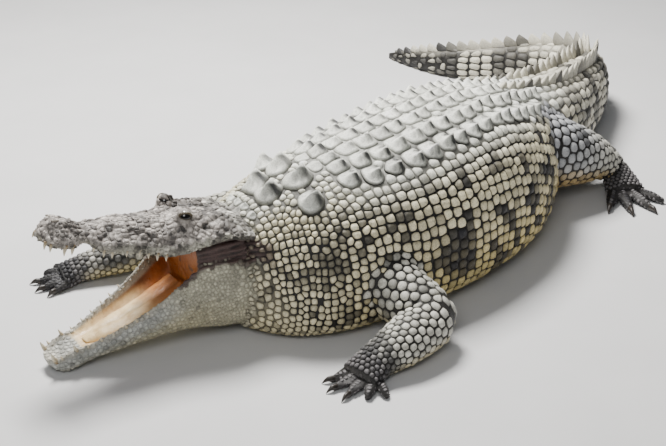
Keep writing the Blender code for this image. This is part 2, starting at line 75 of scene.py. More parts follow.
# Section of the body: (distance, half width, top, widest height, bottom before it meets the floor).
BODY_SECTION = ((-0.10, 0.060, 0.200, 0.130, 0.060), (-0.03, 0.076, 0.215, 0.125, 0.040),
                (0.03, 0.140, 0.268, 0.092, 0.002), (0.08, 0.185, 0.297, 0.084, -0.008),
                (0.15, 0.222, 0.328, 0.084, -0.012), (0.26, 0.248, 0.360, 0.096, -0.012),
                (0.40, 0.258, 0.382, 0.110, -0.012), (0.55, 0.266, 0.392, 0.112, -0.014),
                (0.70, 0.264, 0.388, 0.110, -0.014), (0.85, 0.238, 0.366, 0.110, -0.012),
                (0.98, 0.194, 0.335, 0.110, -0.008), (1.10, 0.160, 0.305, 0.108, -0.006),
                (1.25, 0.137, 0.274, 0.104, -0.006), (1.45, 0.108, 0.240, 0.098, -0.005),
                (1.70, 0.080, 0.205, 0.084, -0.005), (1.95, 0.057, 0.164, 0.066, -0.004),
                (2.20, 0.038, 0.122, 0.048, -0.003), (2.44, 0.024, 0.080, 0.030, -0.003),
                (2.64, 0.007, 0.024, 0.010, -0.001))
ROUND_BACK, ROUND_BELLY = 2.2, 2.9
# Tail crest: two rows that close to one.  (distance, height above the tail, half the space between rows).
CREST = ((0.94, 0.010, 0.034), (1.10, 0.016, 0.040), (1.30, 0.026, 0.042), (1.52, 0.036, 0.036),
         (1.76, 0.044, 0.020), (1.84, 0.048, 0.0), (2.02, 0.052, 0.0), (2.32, 0.042, 0.0), (2.58, 0.012, 0.0))
CREST_PITCH = ((0.94, 0.050), (1.5, 0.048), (2.0, 0.043), (2.6, 0.034))

# Head, in head lengths; u runs from the snout tip (0) to the jaw joint (1).
HEAD_HALF_WIDTH = ((0, .020), (.015, .062), (.04, .092), (.09, .110), (.15, .107), (.215, .094),
                   (.26, .108), (.32, .136), (.38, .150), (.45, .156), (.55, .170), (.65, .190),
                   (.75, .212), (.85, .236), (.95, .250), (1.04, .244))
HEAD_TOP = ((0, .035), (.02, .066), (.05, .092), (.12, .098), (.205, .078), (.26, .086), (.36, .108),
            (.50, .134), (.60, .150), (.70, .172), (.80, .195), (.92, .205), (1.04, .180))
HEAD_LIP = ((0, -.010), (.05, -.022), (.14, -.022), (.210, .006), (.26, -.018), (.32, -.030), (.38, -.024),
            (.47, -.014), (.60, -.020), (.66, -.008), (.72, .018), (.82, .070), (.90, .105), (1.04, .110))
HEAD_PALATE = ((0, -.008), (.10, .010), (.30, .018), (.60, .022), (.72, .045), (.82, .080), (1.04, .115))
HEAD_ROOF = ((0, .008), (.05, .040), (.12, .046), (.205, .032), (.30, .040), (.50, .055), (.62, .076),
             (.70, .102), (.80, .116), (.95, .126), (1.04, .118))
# Swellings of the skull: (u, side, height, reach along, reach across).
ORBIT = (.700, .112, .050, .045, .040)
NOSTRIL_HUMP = (.075, .0, .012, .035, .045)
EYE_PLACE = (.690, .108, .174)      # (u, side, up)
EYE_RADIUS = .037 * HEAD_LENGTH
LID_OPENING = (.84, .42, -.02)      # half length, half height and middle of the opening, in eye radii
NOSTRIL_PLACE = (.066, .030, -.002)     # (u, side, up from the top of the snout)
LIP_SCALLOP = .043                  # length of one wave of the upper lip
JAW_HALF_WIDTH = ((0, .020), (.015, .056), (.05, .088), (.10, .100), (.16, .104), (.25, .124),
                  (.35, .146), (.50, .174), (.65, .202), (.80, .232), (.95, .260), (1.06, .262), (1.16, .232))
JAW_DEPTH = ((0, .040), (.03, .080), (.08, .098), (.25, .122), (.45, .175), (.60, .225), (.75, .305),
             (.90, .392), (1.05, .398), (1.16, .300))
JAW_LIP = ((0, .020), (.10, .024), (.30, .028), (.60, .034), (.90, .048), (1.16, .050))
JAW_FLOOR = ((0, -.006), (.06, .006), (.15, .015), (.20, .032), (.30, .052), (.50, .074), (.70, .080),
             (.90, .048), (1.16, .075))
JAW_CREST = ((0, .006), (.12, .012), (.20, -.004), (.45, .006), (.60, .030), (.70, .062), (.80, .088),
             (.88, .080), (.95, .045), (1.04, -.012), (1.16, -.075))
# Teeth: (u, length) in head lengths, on each side.
UPPER_TEETH = ((.026, .024), (.048, .024), (.115, .038), (.155, .036), (.260, .014), (.305, .018),
               (.342, .018), (.410, .013), (.475, .014), (.520, .018), (.565, .020), (.608, .018))
LOWER_TEETH = ((.036, .058), (.066, .020), (.140, .040), (.195, .016), (.260, .016), (.320, .018),
               (.385, .022), (.440, .022), (.500, .018))

# Limb paths: (x, y, z, half width, half thickness) at the root, joints and knuckles.
LIMBS = {
    "arm_left": ((.150, -.270, .138, .080, .086), (.142, -.386, .106, .068, .074),
                 (.146, -.490, .070, .062, .062), (.044, -.512, .055, .055, .050),
                 (-.040, -.502, .037, .044, .034), (-.092, -.500, .021, .048, .021)),
    "arm_right": ((.190, -.020, .155, .074, .082), (.120, .128, .115, .064, .070),
                  (.030, .222, .070, .054, .056), (-.078, .266, .052, .046, .044),
                  (-.180, .312, .034, .036, .030), (-.232, .338, .020, .046, .020)),
    "leg_left": ((.850, -.120, .185, .118, .118), (.952, -.218, .152, .100, .104),
                 (1.052, -.268, .118, .078, .080), (1.122, -.288, .090, .056, .056),
                 (1.178, -.308, .052, .040, .036), (1.130, -.384, .021, .056, .021)),
    "leg_right": ((.870, -.010, .180, .115, .115), (.920, .145, .150, .090, .095),
                  (.965, .255, .120, .070, .072), (1.050, .300, .088, .055, .055),
                  (1.120, .325, .052, .040, .036), (1.084, .404, .021, .056, .021)),
}
# Digits: (direction in the plan, length without the claw, has a claw).
DIGITS = {
    "arm_left": ((150, .050, True), (168, .062, True), (188, .064, True), (211, .056, False),
                 (240, .044, False)),
    "arm_right": ((186, .050, True), (167, .062, True), (147, .064, True), (124, .056, False),
                  (96, .044, False)),
    "leg_left": ((206, .088, True), (227, .106, True), (248, .108, True), (271, .094, False)),
    "leg_right": ((150, .088, True), (128, .106, True), (106, .108, True), (83, .094, False)),
}
DIGIT_RADIUS = {"arm": .0130, "leg": .0155}
CLAW_LENGTH = {"arm": .024, "leg": .029}
# Claw from its root: (share of the length, rise, thickness), the last two in claw radii.
CLAW_SHAPE = ((-.25, .1, 1.02), (0, .12, 1.08), (.35, .30, .86), (.7, -.15, .52), (1.0, -.95, .10))
KNUCKLE_SPREAD = {"arm": .030, "leg": .036}

CAMERA_PLACE = (-1.987, -2.193, 1.563)
CAMERA_HEADING, CAMERA_DROP = 43.0, 25.0    # plan direction it looks in, and the angle below level
CAMERA_LENS = 75.7

SKIN_VOXEL = 0.003
SKIN_TRIANGLES = 185000

# Scutes of the nape: (distance, places across, rise of the keel, length).
NAPE_SCUTES = ((.054, (-.052, -.018, .018, .052), .45, .024), (.108, (-.037, .037), 1.75, .066),
               (.176, (-.041, .041), 1.85, .070), (.168, (-.114, .114), 1.75, .060),
               (.228, (-.030, .030), .5, .040))
# Rows of the back: where they start, lose their outer columns and end, and the places across with their spread.
BACK_START, BACK_NARROWS, BACK_END = .262, .98, 1.09
BACK_COLUMNS = (-.143, -.086, -.029, .029, .086, .143)
BACK_SPREAD = ((.26, .80), (.36, 1.0), (.85, 1.0), (1.09, .74))
BACK_RISE = .95
TAIL_BAND = .21             # length of a dark and a light band of the tail
# Plates of the limbs: length by station, and width over length.  Then the length on the digits.
LIMB_PLATE_LENGTH = {"arm": ((0, .020), (2.2, .018), (3.6, .014), (4.4, .011), (5, .010)),
                     "leg": ((0, .022), (2.2, .020), (3.6, .016), (4.4, .011), (5, .010))}
LIMB_PLATE_WIDTH = ((0, 1.15), (1.2, 1.45), (2.4, 1.4), (4, 1.25), (5, 1.4))
DIGIT_PLATE_LENGTH = {"arm": .0072, "leg": .0085}
# Plates of the head and the jaw: (u, size).
HEAD_PLATE = ((0, .0095), (.3, .0120), (.6, .0110), (.8, .0125), (1.04, .0140))
JAW_PLATE = ((0, .0095), (.3, .0115), (.55, .0100), (.72, .0075), (.90, .0082), (1.0, .0120), (1.16, .0150))
# Fringe of larger plates behind the jowl: (u, size, height that it reaches).
JOWL_FRINGE = ((.915, .014, -.24), (.955, .017, -.19), (1.0, .019, -.12), (1.045, .021, -.05))

# Lights: (place, aim, size, power, colour).
LIGHTS = (((.1, 1.1, 3.2), (0, 0, 0), 1.15, 345, (1, .98, .95)),
          ((-2.9, -2.2, 2.7), (-.5, -.2, .1), 1.6, 50, (1, 1, 1)))
SKY_COLOUR, SKY_STRENGTH = (.93, .96, 1.0, 1), .15
FLOOR_SIZE, FLOOR_DROP = 24, .0005      # the stage floor lies just under the feet


def linear(*rgb):
    """Scene colour of an everyday 0-255 colour."""
    return tuple(((c / 255 + 0.055) / 1.055) ** 2.4 if c > 10 else c / 3294.6 for c in rgb)


# Shades that come on top of the user's colours.
LEG_GREY = linear(168, 170, 176)
CHEEK_CREAM, THROAT_YELLOW, FRINGE_CREAM = linear(214, 212, 192), linear(216, 202, 150), linear(222, 214, 186)
UPPER_LIP_CREAM, LOWER_LIP_CREAM = linear(206, 200, 176), linear(206, 198, 176)
# The near-black keel colour is painted shadow beside the peaks of the keels.
HEAD_STAIN, JAW_STAIN, KEEL_SHADOW = linear(62, 54, 50), linear(78, 76, 76), linear(14, 15, 19)
GUM_BROWN, TOOTH_ROOT = linear(92, 64, 44), linear(128, 104, 66)
# The eyeball's near-black brown is painted shade, as the eye looks under its lids.
SHADED_EYE_BROWN, PUPIL_BLACK = linear(30, 24, 20), (.002, .002, .002)
NOSTRIL_DARK, NOSTRIL_LIGHT = linear(88, 80, 72), linear(168, 160, 148)


def tint(name, text, *rgb):
    """A colour that a user may change."""
    return FloatVectorProperty(name=name, description=text, subtype="COLOR", size=3, min=0, max=1,
                               default=linear(*rgb))


def length(name, text, value, top=0.1):
    """A size that a user may change."""
    return FloatProperty(name=name, description=text, default=value, min=0, max=top, subtype="DISTANCE",
                         unit="LENGTH", precision=4)


class HideColours(bpy.types.PropertyGroup):
    """Colours of the hide."""
    back: tint("Back", "Keeled scutes of the back", 250, 251, 240)
    flank: tint("Flank", "Scales of the flank", 236, 226, 190)
    belly: tint("Belly", "Scales of the belly", 206, 186, 120)
    neck: tint("Neck", "Beads of the neck", 230, 221, 188)
    tail: tint("Tail", "Whorls of the tail", 216, 211, 193)
    blotch: tint("Blotch", "Dark markings", 17, 17, 25)
    # The groove colour stands for the darker skin between the scales and also for painted shade in the grooves.
    groove: tint("Groove", "Skin between the scales", 22, 19, 16)
    snout: tint("Snout", "Skin of the upper jaw", 216, 207, 198)
    jaw: tint("Jaw", "Skin of the lower jaw", 200, 201, 194)
    jowl: tint("Jowl", "Fine skin at the back of the jaw", 202, 198, 176)
    limb: tint("Limb", "Plates of the limbs", 204, 202, 190)
    foot: tint("Foot", "Plates of the hands and feet", 98, 95, 96)
    # The cheek pocket is dark from its own purple-brown skin and from painted shade for the recess between the
    # jaws.
    pocket: tint("Cheek folds", "Bare folds behind the corner of the mouth", 84, 66, 62)
    thigh_underside: tint("Thigh underside", "Yellow skin under the thighs", 176, 146, 84)


class MouthColours(bpy.types.PropertyGroup):
    """Colours of the mouth, eyes, teeth and claws."""
    lining: tint("Lining", "Roof and back wall of the mouth", 172, 102, 42)
    tongue: tint("Tongue", "Tongue and floor of the mouth", 240, 214, 164)
    lid: tint("Lid", "Rims of the eyelids", 96, 84, 62)
    # Near black by default: painted shade over the iris, as it looks under the lids.
    iris: tint("Iris", "Ring round the pupil", 20, 14, 8)
    tooth: tint("Tooth", "Crowns of the teeth", 226, 218, 194)
    claw: tint("Claw", "Horn of the claws", 40, 35, 31)


class ScaleSizes(bpy.types.PropertyGroup):
    """Sizes of the scales."""
    depth: length("Coat depth", "How far the skin lies inside the outline", 0.0022, 0.01)
    flank_length: length("Flank scale length", "Along the body", 0.0228)
    flank_width: length("Flank scale width", "Round the body", 0.0252)
    neck_length: length("Neck bead length", "Along the neck", 0.0140)
    neck_width: length("Neck bead width", "Round the neck", 0.0172)
    scute_length: length("Scute length", "Along the back", 0.050)
    keel: length("Keel height", "Rise of the keels of the back", 0.017, 0.03)
    groove: length("Groove", "Space between two scales", 0.0012, 0.01)
    seed: IntProperty(name="Seed", description="Choice of the chance variation", default=7, min=0)


def curve_value(table, x, column=1):
    """Smooth value of a table at x, with no overshoot between its rows."""
    keys = np.array([row[0] for row in table], float)
    values = np.array([row[column] for row in table], float)
    step = np.diff(keys)
    slope = np.diff(values) / step
    tangent = np.concatenate((slope[:1], (slope[:-1] + slope[1:]) / 2, slope[-1:]))
    turning = slope[:-1] * slope[1:] <= 0
    tangent[1:-1][turning] = 0
    steepest = 3 * np.minimum(np.abs(slope[:-1]), np.abs(slope[1:]))
    tangent[1:-1] = np.clip(tangent[1:-1], -steepest, steepest)
    x = np.clip(x, keys[0], keys[-1])
    i = np.clip(np.searchsorted(keys, x, side="right") - 1, 0, len(step) - 1)
    t = (x - keys[i]) / step[i]
    return (values[i] * (1 + 2 * t) * (1 - t) ** 2 + values[i + 1] * t * t * (3 - 2 * t)
            + step[i] * t * (1 - t) * (tangent[i] * (1 - t) - tangent[i + 1] * t))


def value_at(table, x, column=1):
    """One value of a table, as a plain number."""
    return float(curve_value(table, x, column))


def turns(count):
    """Angles at equal steps once round."""
    return np.arange(count) / count * math.tau


def bell(x, middle, width):
    """1 at the middle, falling to 0 on both sides."""
    return np.exp(-((x - middle) / width) ** 2)


def ease(low, high, x):
    """0 below low, 1 above high, smooth between."""
    t = np.clip((np.asarray(x, float) - low) / (high - low), 0, 1)
    return t * t * (3 - 2 * t)


def noise(points, size, seed=0):
    """Smooth lumps from -1 to 1, of the given size."""
    grid = np.atleast_2d(points) / size + seed * 17.31 + 1000
    base = np.floor(grid).astype(np.int64)
    part = grid - base
    part = part * part * (3 - 2 * part)
    total = np.zeros(len(grid))
    for corner in range(8):
        offset = np.array((corner & 1, corner >> 1 & 1, corner >> 2 & 1))
        cell = base + offset
        mix = (cell[:, 0] * 73856093 ^ cell[:, 1] * 19349663 ^ cell[:, 2] * 83492791) & 0xffffffff
        mix = ((mix ^ mix >> 13) * 1274126177) & 0xffffffff
        mix = ((mix ^ mix >> 15) * 2246822519) & 0xffffffff
        total += ((mix >> 8 & 0xffff) / 32767.5 - 1) * np.prod(np.where(offset, part, 1 - part), axis=1)
    return total


def crevice(points, size, seed):
    """1 along the winding lines between lumps of the given size, falling to 0 beside them."""
    return np.exp(-(noise(points, size, seed) / .20) ** 2)


def skull_lines(points):
    """Crevices of the head: fine ones between small lumps and longer ones along the jaws."""
    axis = jaw_axes(UPPER_PITCH)[0]
    drawn = points - .50 * (points @ axis)[:, None] * axis
    return np.maximum(.8 * crevice(points, .0125, 4), crevice(drawn, .020, 44))


def choices(group):
    """The colours or sizes that the user has set: scales, hide or mouth."""
    return getattr(bpy.context.scene, f"crocodile_{group}")


def unit(vectors):
    """Vectors of length one."""
    return vectors / np.maximum(np.linalg.norm(vectors, axis=-1, keepdims=True), 1e-9)


# ---------------------------------------------------------------- shapes

def lay_spine():
    """Distances along the spine with the plan place and heading at each."""
    step = 0.002
    along = np.arange(SPINE_HEADING[0][0], TAIL_TIP + step, step)
    heading = np.radians(curve_value(SPINE_HEADING, along))
    x, y = np.cumsum(np.cos(heading)) * step, np.cumsum(np.sin(heading)) * step
    joint = np.searchsorted(along, 0.0)
    return along, x - x[joint] + JAW_JOINT[0], y - y[joint] + JAW_JOINT[1], heading


SPINE = lay_spine()


def spine_frame(distance):
    """Place under the spine, direction to the tail, and direction to the animal's right."""
    along, x, y, heading = SPINE
    turn = np.interp(distance, along, heading)
    place = np.array((np.interp(distance, along, x), np.interp(distance, along, y), 0.0))
    cos, sin = math.cos(turn), math.sin(turn)
    return place, np.array((cos, sin, 0)), np.array((-sin, cos, 0))


def body_ring(distance, points=96):
    """Section of the body from the middle of the back, round the right side and the belly."""
    half, top, widest, bottom = (curve_value(BODY_SECTION, distance, c) for c in (1, 2, 3, 4))
    angle = math.pi / 2 - turns(points)
    power = 2 / np.where(np.sin(angle) > 0, ROUND_BACK, ROUND_BELLY)
    across = half * np.sign(np.cos(angle)) * np.abs(np.cos(angle)) ** power
    lift = np.sign(np.sin(angle)) * np.abs(np.sin(angle)) ** power
    height = widest + lift * np.where(lift > 0, top - widest, widest - bottom)
    place, _, right = spine_frame(distance)
    ring = place + across[:, None] * right
    ring[:, 2] = np.maximum(height, 0)
    return ring


def jaw_axes(pitch):
    """Forward, right and upright directions of one jaw."""
    turn, tilt = math.radians(HEAD_HEADING), math.radians(pitch)
    forward = np.array((-math.cos(turn), -math.sin(turn), 0))
    right = np.array((-math.sin(turn), math.cos(turn), 0))
    rise = np.array((0, 0, 1))
    return (forward * math.cos(tilt) + rise * math.sin(tilt), right,
            rise * math.cos(tilt) - forward * math.sin(tilt))


def jaw_place(u, across, up, pitch):
    """Place of points given in head lengths in the frame of one jaw."""
    axis, right, upright = jaw_axes(pitch)
    u, across, up = (np.atleast_1d(value)[:, None] for value in (u, across, up))
    ahead = (1 - u) * (LOWER_REACH if pitch == LOWER_PITCH else 1)
    across = across + (LOWER_SHIFT * ahead if pitch == LOWER_PITCH else 0)
    return JAW_JOINT + HEAD_LENGTH * (ahead * axis + across * right + up * upright)


def jaw_frame(points, pitch):
    """The (u, across, up) of points in the frame of one jaw, in head lengths."""
    axis, right, upright = jaw_axes(pitch)
    from_joint = (points - JAW_JOINT) / HEAD_LENGTH
    ahead, across, up = from_joint @ axis, from_joint @ right, from_joint @ upright
    if pitch == LOWER_PITCH:
        return 1 - ahead / LOWER_REACH, across - LOWER_SHIFT * ahead, up
    return 1 - ahead, across, up


def smooth_ring(section, points):
    """A closed curve through the corners of a section."""
    section = np.array(section)
    count = len(section)
    place = np.arange(points) * count / points
    i = place.astype(int)
    t = (place - i)[:, None]
    a, b, c, d = (section[(i + k) % count] for k in (-1, 0, 1, 2))
    return 0.5 * (2 * b + (c - a) * t + (2 * a - 5 * b + 4 * c - d) * t ** 2
                  + (3 * b - a - 3 * c + d) * t ** 3)


def mirrored(half):
    """A closed section from the half that runs down the animal's right side."""
    return list(half) + [(-across, up) for across, up in half[-2:0:-1]]


def bump(u, across, shape):
    """Height of a rounded swelling at a place on the head."""
    centre, side, height, along, spread = shape
    return height * np.exp(-((u - centre) / along) ** 2 - ((np.abs(across) - side) / spread) ** 2)


def head_ring(u, points=96):
    """Section of the upper head, from the skull roof round the lip to the palate."""
    half, top, lip, palate, roof = (value_at(table, u) for table in
                                    (HEAD_HALF_WIDTH, HEAD_TOP, HEAD_LIP, HEAD_PALATE, HEAD_ROOF))
    widest = lip + 0.34 * (top - lip)
    palate = max(palate, lip + 0.004)
    edge = top - 0.06 * (top - widest)
    slope = [(roof + (half - roof) * out, widest + (edge - widest) * rise) for out, rise in
             ((0.18, 0.89), (0.52, 0.62), (0.86, 0.26))]
    section = mirrored([(0, top), (roof * 0.5, top), (roof, edge), *slope, (half, widest),
                        (half * 0.95, lip), (half * 0.80, palate - 0.004),
                        (half * 0.45, palate), (0, palate)])
    section = smooth_ring(section, points)
    raised = ease(widest + 0.1 * (top - widest), widest + 0.4 * (top - widest), section[:, 1])
    lift = bump(u, section[:, 0], ORBIT) + bump(u, section[:, 0], NOSTRIL_HUMP)
    section[:, 1] += raised * lift
    return jaw_place(u, section[:, 0], section[:, 1], UPPER_PITCH)


def jaw_ring(u, points=96):
    """Section of the lower jaw, a trough, from the middle of its underside."""
    half, depth, lip, floor, crest = (value_at(table, u) for table in
                                      (JAW_HALF_WIDTH, JAW_DEPTH, JAW_LIP, JAW_FLOOR, JAW_CREST))
    lip = min(lip, half * 0.45)
    section = mirrored([(0, -depth), (half * 0.50, -0.98 * depth), (half * 0.86, -0.82 * depth),
                        (half * 0.99, -0.52 * depth), (half, crest - 0.20 * depth),
                        (half - lip * 0.18, crest - 0.004), (half - lip * 0.65, crest),
                        (half - lip, 0.75 * crest - 0.25 * floor), ((half - lip) * 0.70, -floor), (0, -floor)])
    section = smooth_ring(section, points)
    ring = jaw_place(u, section[:, 0], section[:, 1], LOWER_PITCH)
    ring[:, 2] = np.maximum(ring[:, 2], 0)
    return ring


def gullet_ring(u, points=40):
    """Section of the flesh between the jaws behind the tongue."""
    low = jaw_place(u, 0, -value_at(JAW_FLOOR, u) - 0.03, LOWER_PITCH)[0]
    high = jaw_place(u, 0, value_at(HEAD_PALATE, u) + 0.03, UPPER_PITCH)[0]
    half = HEAD_LENGTH * (value_at(JAW_HALF_WIDTH, u) - value_at(JAW_LIP, u) * 0.55)
    right = jaw_axes(0)[1]
    angle = turns(points)
    rise = np.copysign(np.abs(np.sin(angle)) ** 0.7, np.sin(angle))[:, None]
    out = np.copysign(np.abs(np.cos(angle)) ** 0.8, np.cos(angle))[:, None]
    return (low + high) / 2 + (high - low) / 2 * rise + right * half * out


def tongue_ring(u, points=48):
    """Section of the tongue, low and broad, sunk into the floor of the jaw."""
    half = (value_at(JAW_HALF_WIDTH, u) - value_at(JAW_LIP, u)) * 0.80
    half *= .45 + .55 * float(ease(.19, .32, u))
    rise = 0.034 * min(1, (u - .18) / .10)
    angle = turns(points)
    return jaw_place(u, half * np.cos(angle), -value_at(JAW_FLOOR, u) + rise * np.sin(angle), LOWER_PITCH)


def path_at(rows, station):
    """Place and half sizes on the smooth path of a limb; the station counts rows."""
    table = [(k, *row) for k, row in enumerate(rows)]
    return np.array([value_at(table, station, c) for c in range(1, 6)])


def limb_ring(rows, station, upright=False, points=40):
    """Ring square to the path of a limb, or an upright one, from its top, held above the floor."""
    sample = path_at(rows, station)
    late, early = path_at(rows, min(station + 0.02, len(rows) - 1)), path_at(rows, max(station - 0.02, 0))
    along = unit((late[:3] - early[:3]) * (1, 1, 0 if upright else 1))
    side = unit(np.cross(along, (0, 0, 1)))
    up = np.cross(side, along)
    angle = turns(points)
    ring = sample[:3] + np.outer(np.sin(angle) * sample[3], side) + np.outer(np.cos(angle) * sample[4], up)
    ring[:, 2] = np.maximum(ring[:, 2], 0)
    return ring


def digit_paths(limb):
    """Path of each digit, with its aim and radius and whether it has a claw."""
    kind = limb.split("_")[0]
    rows = np.array(LIMBS[limb])
    wrist, knuckle = rows[-2, :3], rows[-1, :3]
    forward = unit((knuckle - wrist) * (1, 1, 0))
    made = []
    for number, (direction, reach, clawed) in enumerate(DIGITS[limb], 1):
        turn = math.radians(direction)
        aim = np.array((math.cos(turn), math.sin(turn), 0))
        root = knuckle - 0.030 * forward + KNUCKLE_SPREAD[kind] * (aim - forward * float(aim @ forward))
        radius = DIGIT_RADIUS[kind] * (1 - 0.02 * number)
        path = [(*(root[:2] + aim[:2] * out), radius * high, radius * wide, radius * high)
                for out, wide, high in ((0.0, 1.05, 1.0), (0.35 * reach + 0.02, 1.10, 1.0),
                                        (0.70 * reach + 0.02, 0.95, 0.9), (reach + 0.02, 0.62, 0.62))]
        made.append((path, aim, radius, clawed))
    return made


def frame_shift():
    """Where the frame has the head, less where the tables have it: the middle between the two eyes."""
    boxes = [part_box(name) for name in ("eye_left", "eye_right")]
    middle = sum((np.array(low) + np.array(high) for low, high in boxes), np.zeros(3)) / 4
    u, _, up = EYE_PLACE
    return middle - jaw_place(u, 0, up, UPPER_PITCH)[0]


SHIFT = frame_shift()


# ---------------------------------------------------------------- meshes and materials

def deselect():
    """Leave nothing selected."""
    for item in bpy.context.selected_objects:
        item.select_set(False)


def select(item):
    """Make one object the only selected and the active one."""
    deselect()
    item.select_set(True)
    bpy.context.view_layer.objects.active = item


def mesh_object(name, points, faces):
    """A named object from points in the tables' frame."""
    mesh = bpy.data.meshes.new(name)
    mesh.from_pydata((np.asarray(points) + SHIFT).tolist(), [], faces)
    made = bpy.data.objects.new(name, mesh)
    bpy.context.scene.collection.objects.link(made)
    return made


def loft(name, rings):
    """A closed mesh over rings of equal count, with a fan over each end, facing outwards."""
    count = len(rings[0])
    points = np.concatenate([*rings, [np.mean(rings[0], axis=0)], [np.mean(rings[-1], axis=0)]])
    faces = [(r * count + i, r * count + j, (r + 1) * count + j, (r + 1) * count + i)
             for r in range(len(rings) - 1) for i, j in zip(range(count), (*range(1, count), 0))]
    last, first_cap, last_cap = (len(rings) - 1) * count, len(points) - 2, len(points) - 1
    faces += [((i + 1) % count, i, first_cap) for i in range(count)]
    faces += [(last + i, last + (i + 1) % count, last_cap) for i in range(count)]
    made = mesh_object(name, points, faces)
    face_outwards(made)
    return made


def face_outwards(item):
    """Turn a closed mesh over if its faces point inwards."""
    build = bmesh.new()
    build.from_mesh(item.data)
    if build.calc_volume(signed=True) < 0:
        bmesh.ops.reverse_faces(build, faces=build.faces)
    build.to_mesh(item.data)
    build.free()


def recalculate_normals(item):
    """Point the faces of each shell of an object outwards."""
    select(item)
    bpy.ops.object.mode_set(mode="EDIT")
    bpy.ops.mesh.select_all(action="SELECT")
    bpy.ops.mesh.normals_make_consistent(inside=False)
    bpy.ops.object.mode_set(mode="OBJECT")


def join(objects, name):
    """One object from several."""
    deselect()
    for item in objects:
        item.select_set(True)
    bpy.context.view_layer.objects.active = objects[0]
    if len(objects) > 1:
        bpy.ops.object.join()
    objects[0].name = objects[0].data.name = name
    return objects[0]


def apply_modifier(item, kind, **settings):
    """Add a modifier and apply it."""
    select(item)
    bpy.ops.object.modifier_add(type=kind)
    modifier = item.modifiers[-1]
    for key, value in settings.items():
        setattr(modifier, key, value)
    bpy.ops.object.modifier_apply(modifier=modifier.name)


def points_of(item):
    """Vertex places of an object."""
    places = np.empty(len(item.data.vertices) * 3)
    item.data.vertices.foreach_get("co", places)
    return places.reshape(-1, 3)


def normals_of(item):
    """Vertex normals of an object."""
    normals = np.empty(len(item.data.vertices) * 3, np.float32)
    item.data.vertex_normals.foreach_get("vector", normals)
    return normals.reshape(-1, 3).astype(float)


def set_points(item, places):
    """Move the vertices of an object."""
    item.data.vertices.foreach_set("co", np.asarray(places, float).ravel())
    item.data.update()


def set_colour(item, colours, name="marking"):
    """Store a colour for each vertex."""
    layer = item.data.color_attributes.new(name, "FLOAT_COLOR", "POINT")
    values = np.ones((len(colours), 4))
    values[:, :3] = np.clip(colours, 0, 1)
    layer.data.foreach_set("color", values.ravel())


def finish_piece(item, slot, *nodes):
    """Fix a piece to the frame, and let it stand for solids."""
    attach(item, "root")
    if nodes:
        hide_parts(*nodes)


def dress(item, material, slot, *nodes):
    """Smooth a piece, give it its material and finish it."""
    item.data.shade_smooth()
    item.data.materials.append(material)
    finish_piece(item, slot, *nodes)


def shade(colour, strength):
    """A colour made darker or lighter."""
    return tuple(value * strength for value in colour)


class Recipe:
    """A node material under construction."""

    def __init__(self, name, roughness=0.5):
        self.material = bpy.data.materials.new(name)
        self.material.use_nodes = True
        self.tree = self.material.node_tree
        self.shader = self.tree.nodes["Principled BSDF"]
        self.shader.inputs["Roughness"].default_value = roughness
        self.coordinates = self.tree.nodes.new("ShaderNodeTexCoord").outputs["Object"]

    def node(self, kind, settings=(), **sockets):
        """A node with its settings, and its inputs by name, or by number after a _, set or linked."""
        made = self.tree.nodes.new(kind)
        for key, value in dict(settings).items():
            setattr(made, key, value)
        for key, value in sockets.items():
            self.feed(made.inputs[int(key[1:]) if key[0] == "_" else key.title()], value)
        return made

    def feed(self, socket, value):
        """Link another node's output to an input, or set it."""
        if isinstance(value, bpy.types.NodeSocket):
            self.tree.links.new(value, socket)
        else:
            socket.default_value = value

    def stored(self, name="marking"):
        """The colour stored for each vertex."""
        return self.node("ShaderNodeAttribute", {"attribute_name": name}).outputs["Color"]

    def cloud(self, scale, detail=4, roughness=0.6, stretch=None):
        """Noise in object space."""
        vector = self.coordinates
        if stretch:
            vector = self.node("ShaderNodeMapping", Vector=vector, Scale=stretch).outputs[0]
        return self.node("ShaderNodeTexNoise", Vector=vector, Scale=scale, Detail=detail,
                         Roughness=roughness).outputs["Fac"]

    def crackle(self, scale):
        """Distance to the edges of small cells."""
        return self.node("ShaderNodeTexVoronoi", {"feature": "DISTANCE_TO_EDGE"}, Vector=self.coordinates,
                         Scale=scale).outputs["Distance"]

    def ramp(self, factor, *stops):
        """A colour ramp with stops of (place, colour or grey)."""
        made = self.node("ShaderNodeValToRGB", Fac=factor)
        ramp = made.color_ramp
        while len(ramp.elements) < len(stops):
            ramp.elements.new(0.5)
        for element, (place, value) in zip(ramp.elements, stops):
            element.position = place
            element.color = (*value, 1) if isinstance(value, tuple) else (value, value, value, 1)
        return made.outputs[0]

    def blend(self, kind, factor, first, second):
        """Mix two colours."""
        settings = {"data_type": "RGBA", "blend_type": kind}
        return self.node("ShaderNodeMix", settings, _0=factor, _6=first, _7=second).outputs[2]

    def map_range(self, value, low, high, new_low, new_high):
        """A value moved from one range to another."""
        made = self.node("ShaderNodeMapRange", _0=value, _1=low, _2=high, _3=new_low, _4=new_high)
        return made.outputs[0]

    def finish(self, colour, roughness=None, bumps=()):
        """Wire the colour, the roughness and a chain of (height, depth in metres) bumps."""
        self.tree.links.new(colour, self.shader.inputs["Base Color"])
        if roughness is not None:
            self.tree.links.new(roughness, self.shader.inputs["Roughness"])
        normal = None
        for height, depth in bumps:
            made = self.node("ShaderNodeBump", Distance=depth, Height=height)
            if normal is not None:
                self.tree.links.new(normal, made.inputs["Normal"])
            normal = made.outputs[0]
        if normal is not None:
            self.tree.links.new(normal, self.shader.inputs["Normal"])
        return self.material


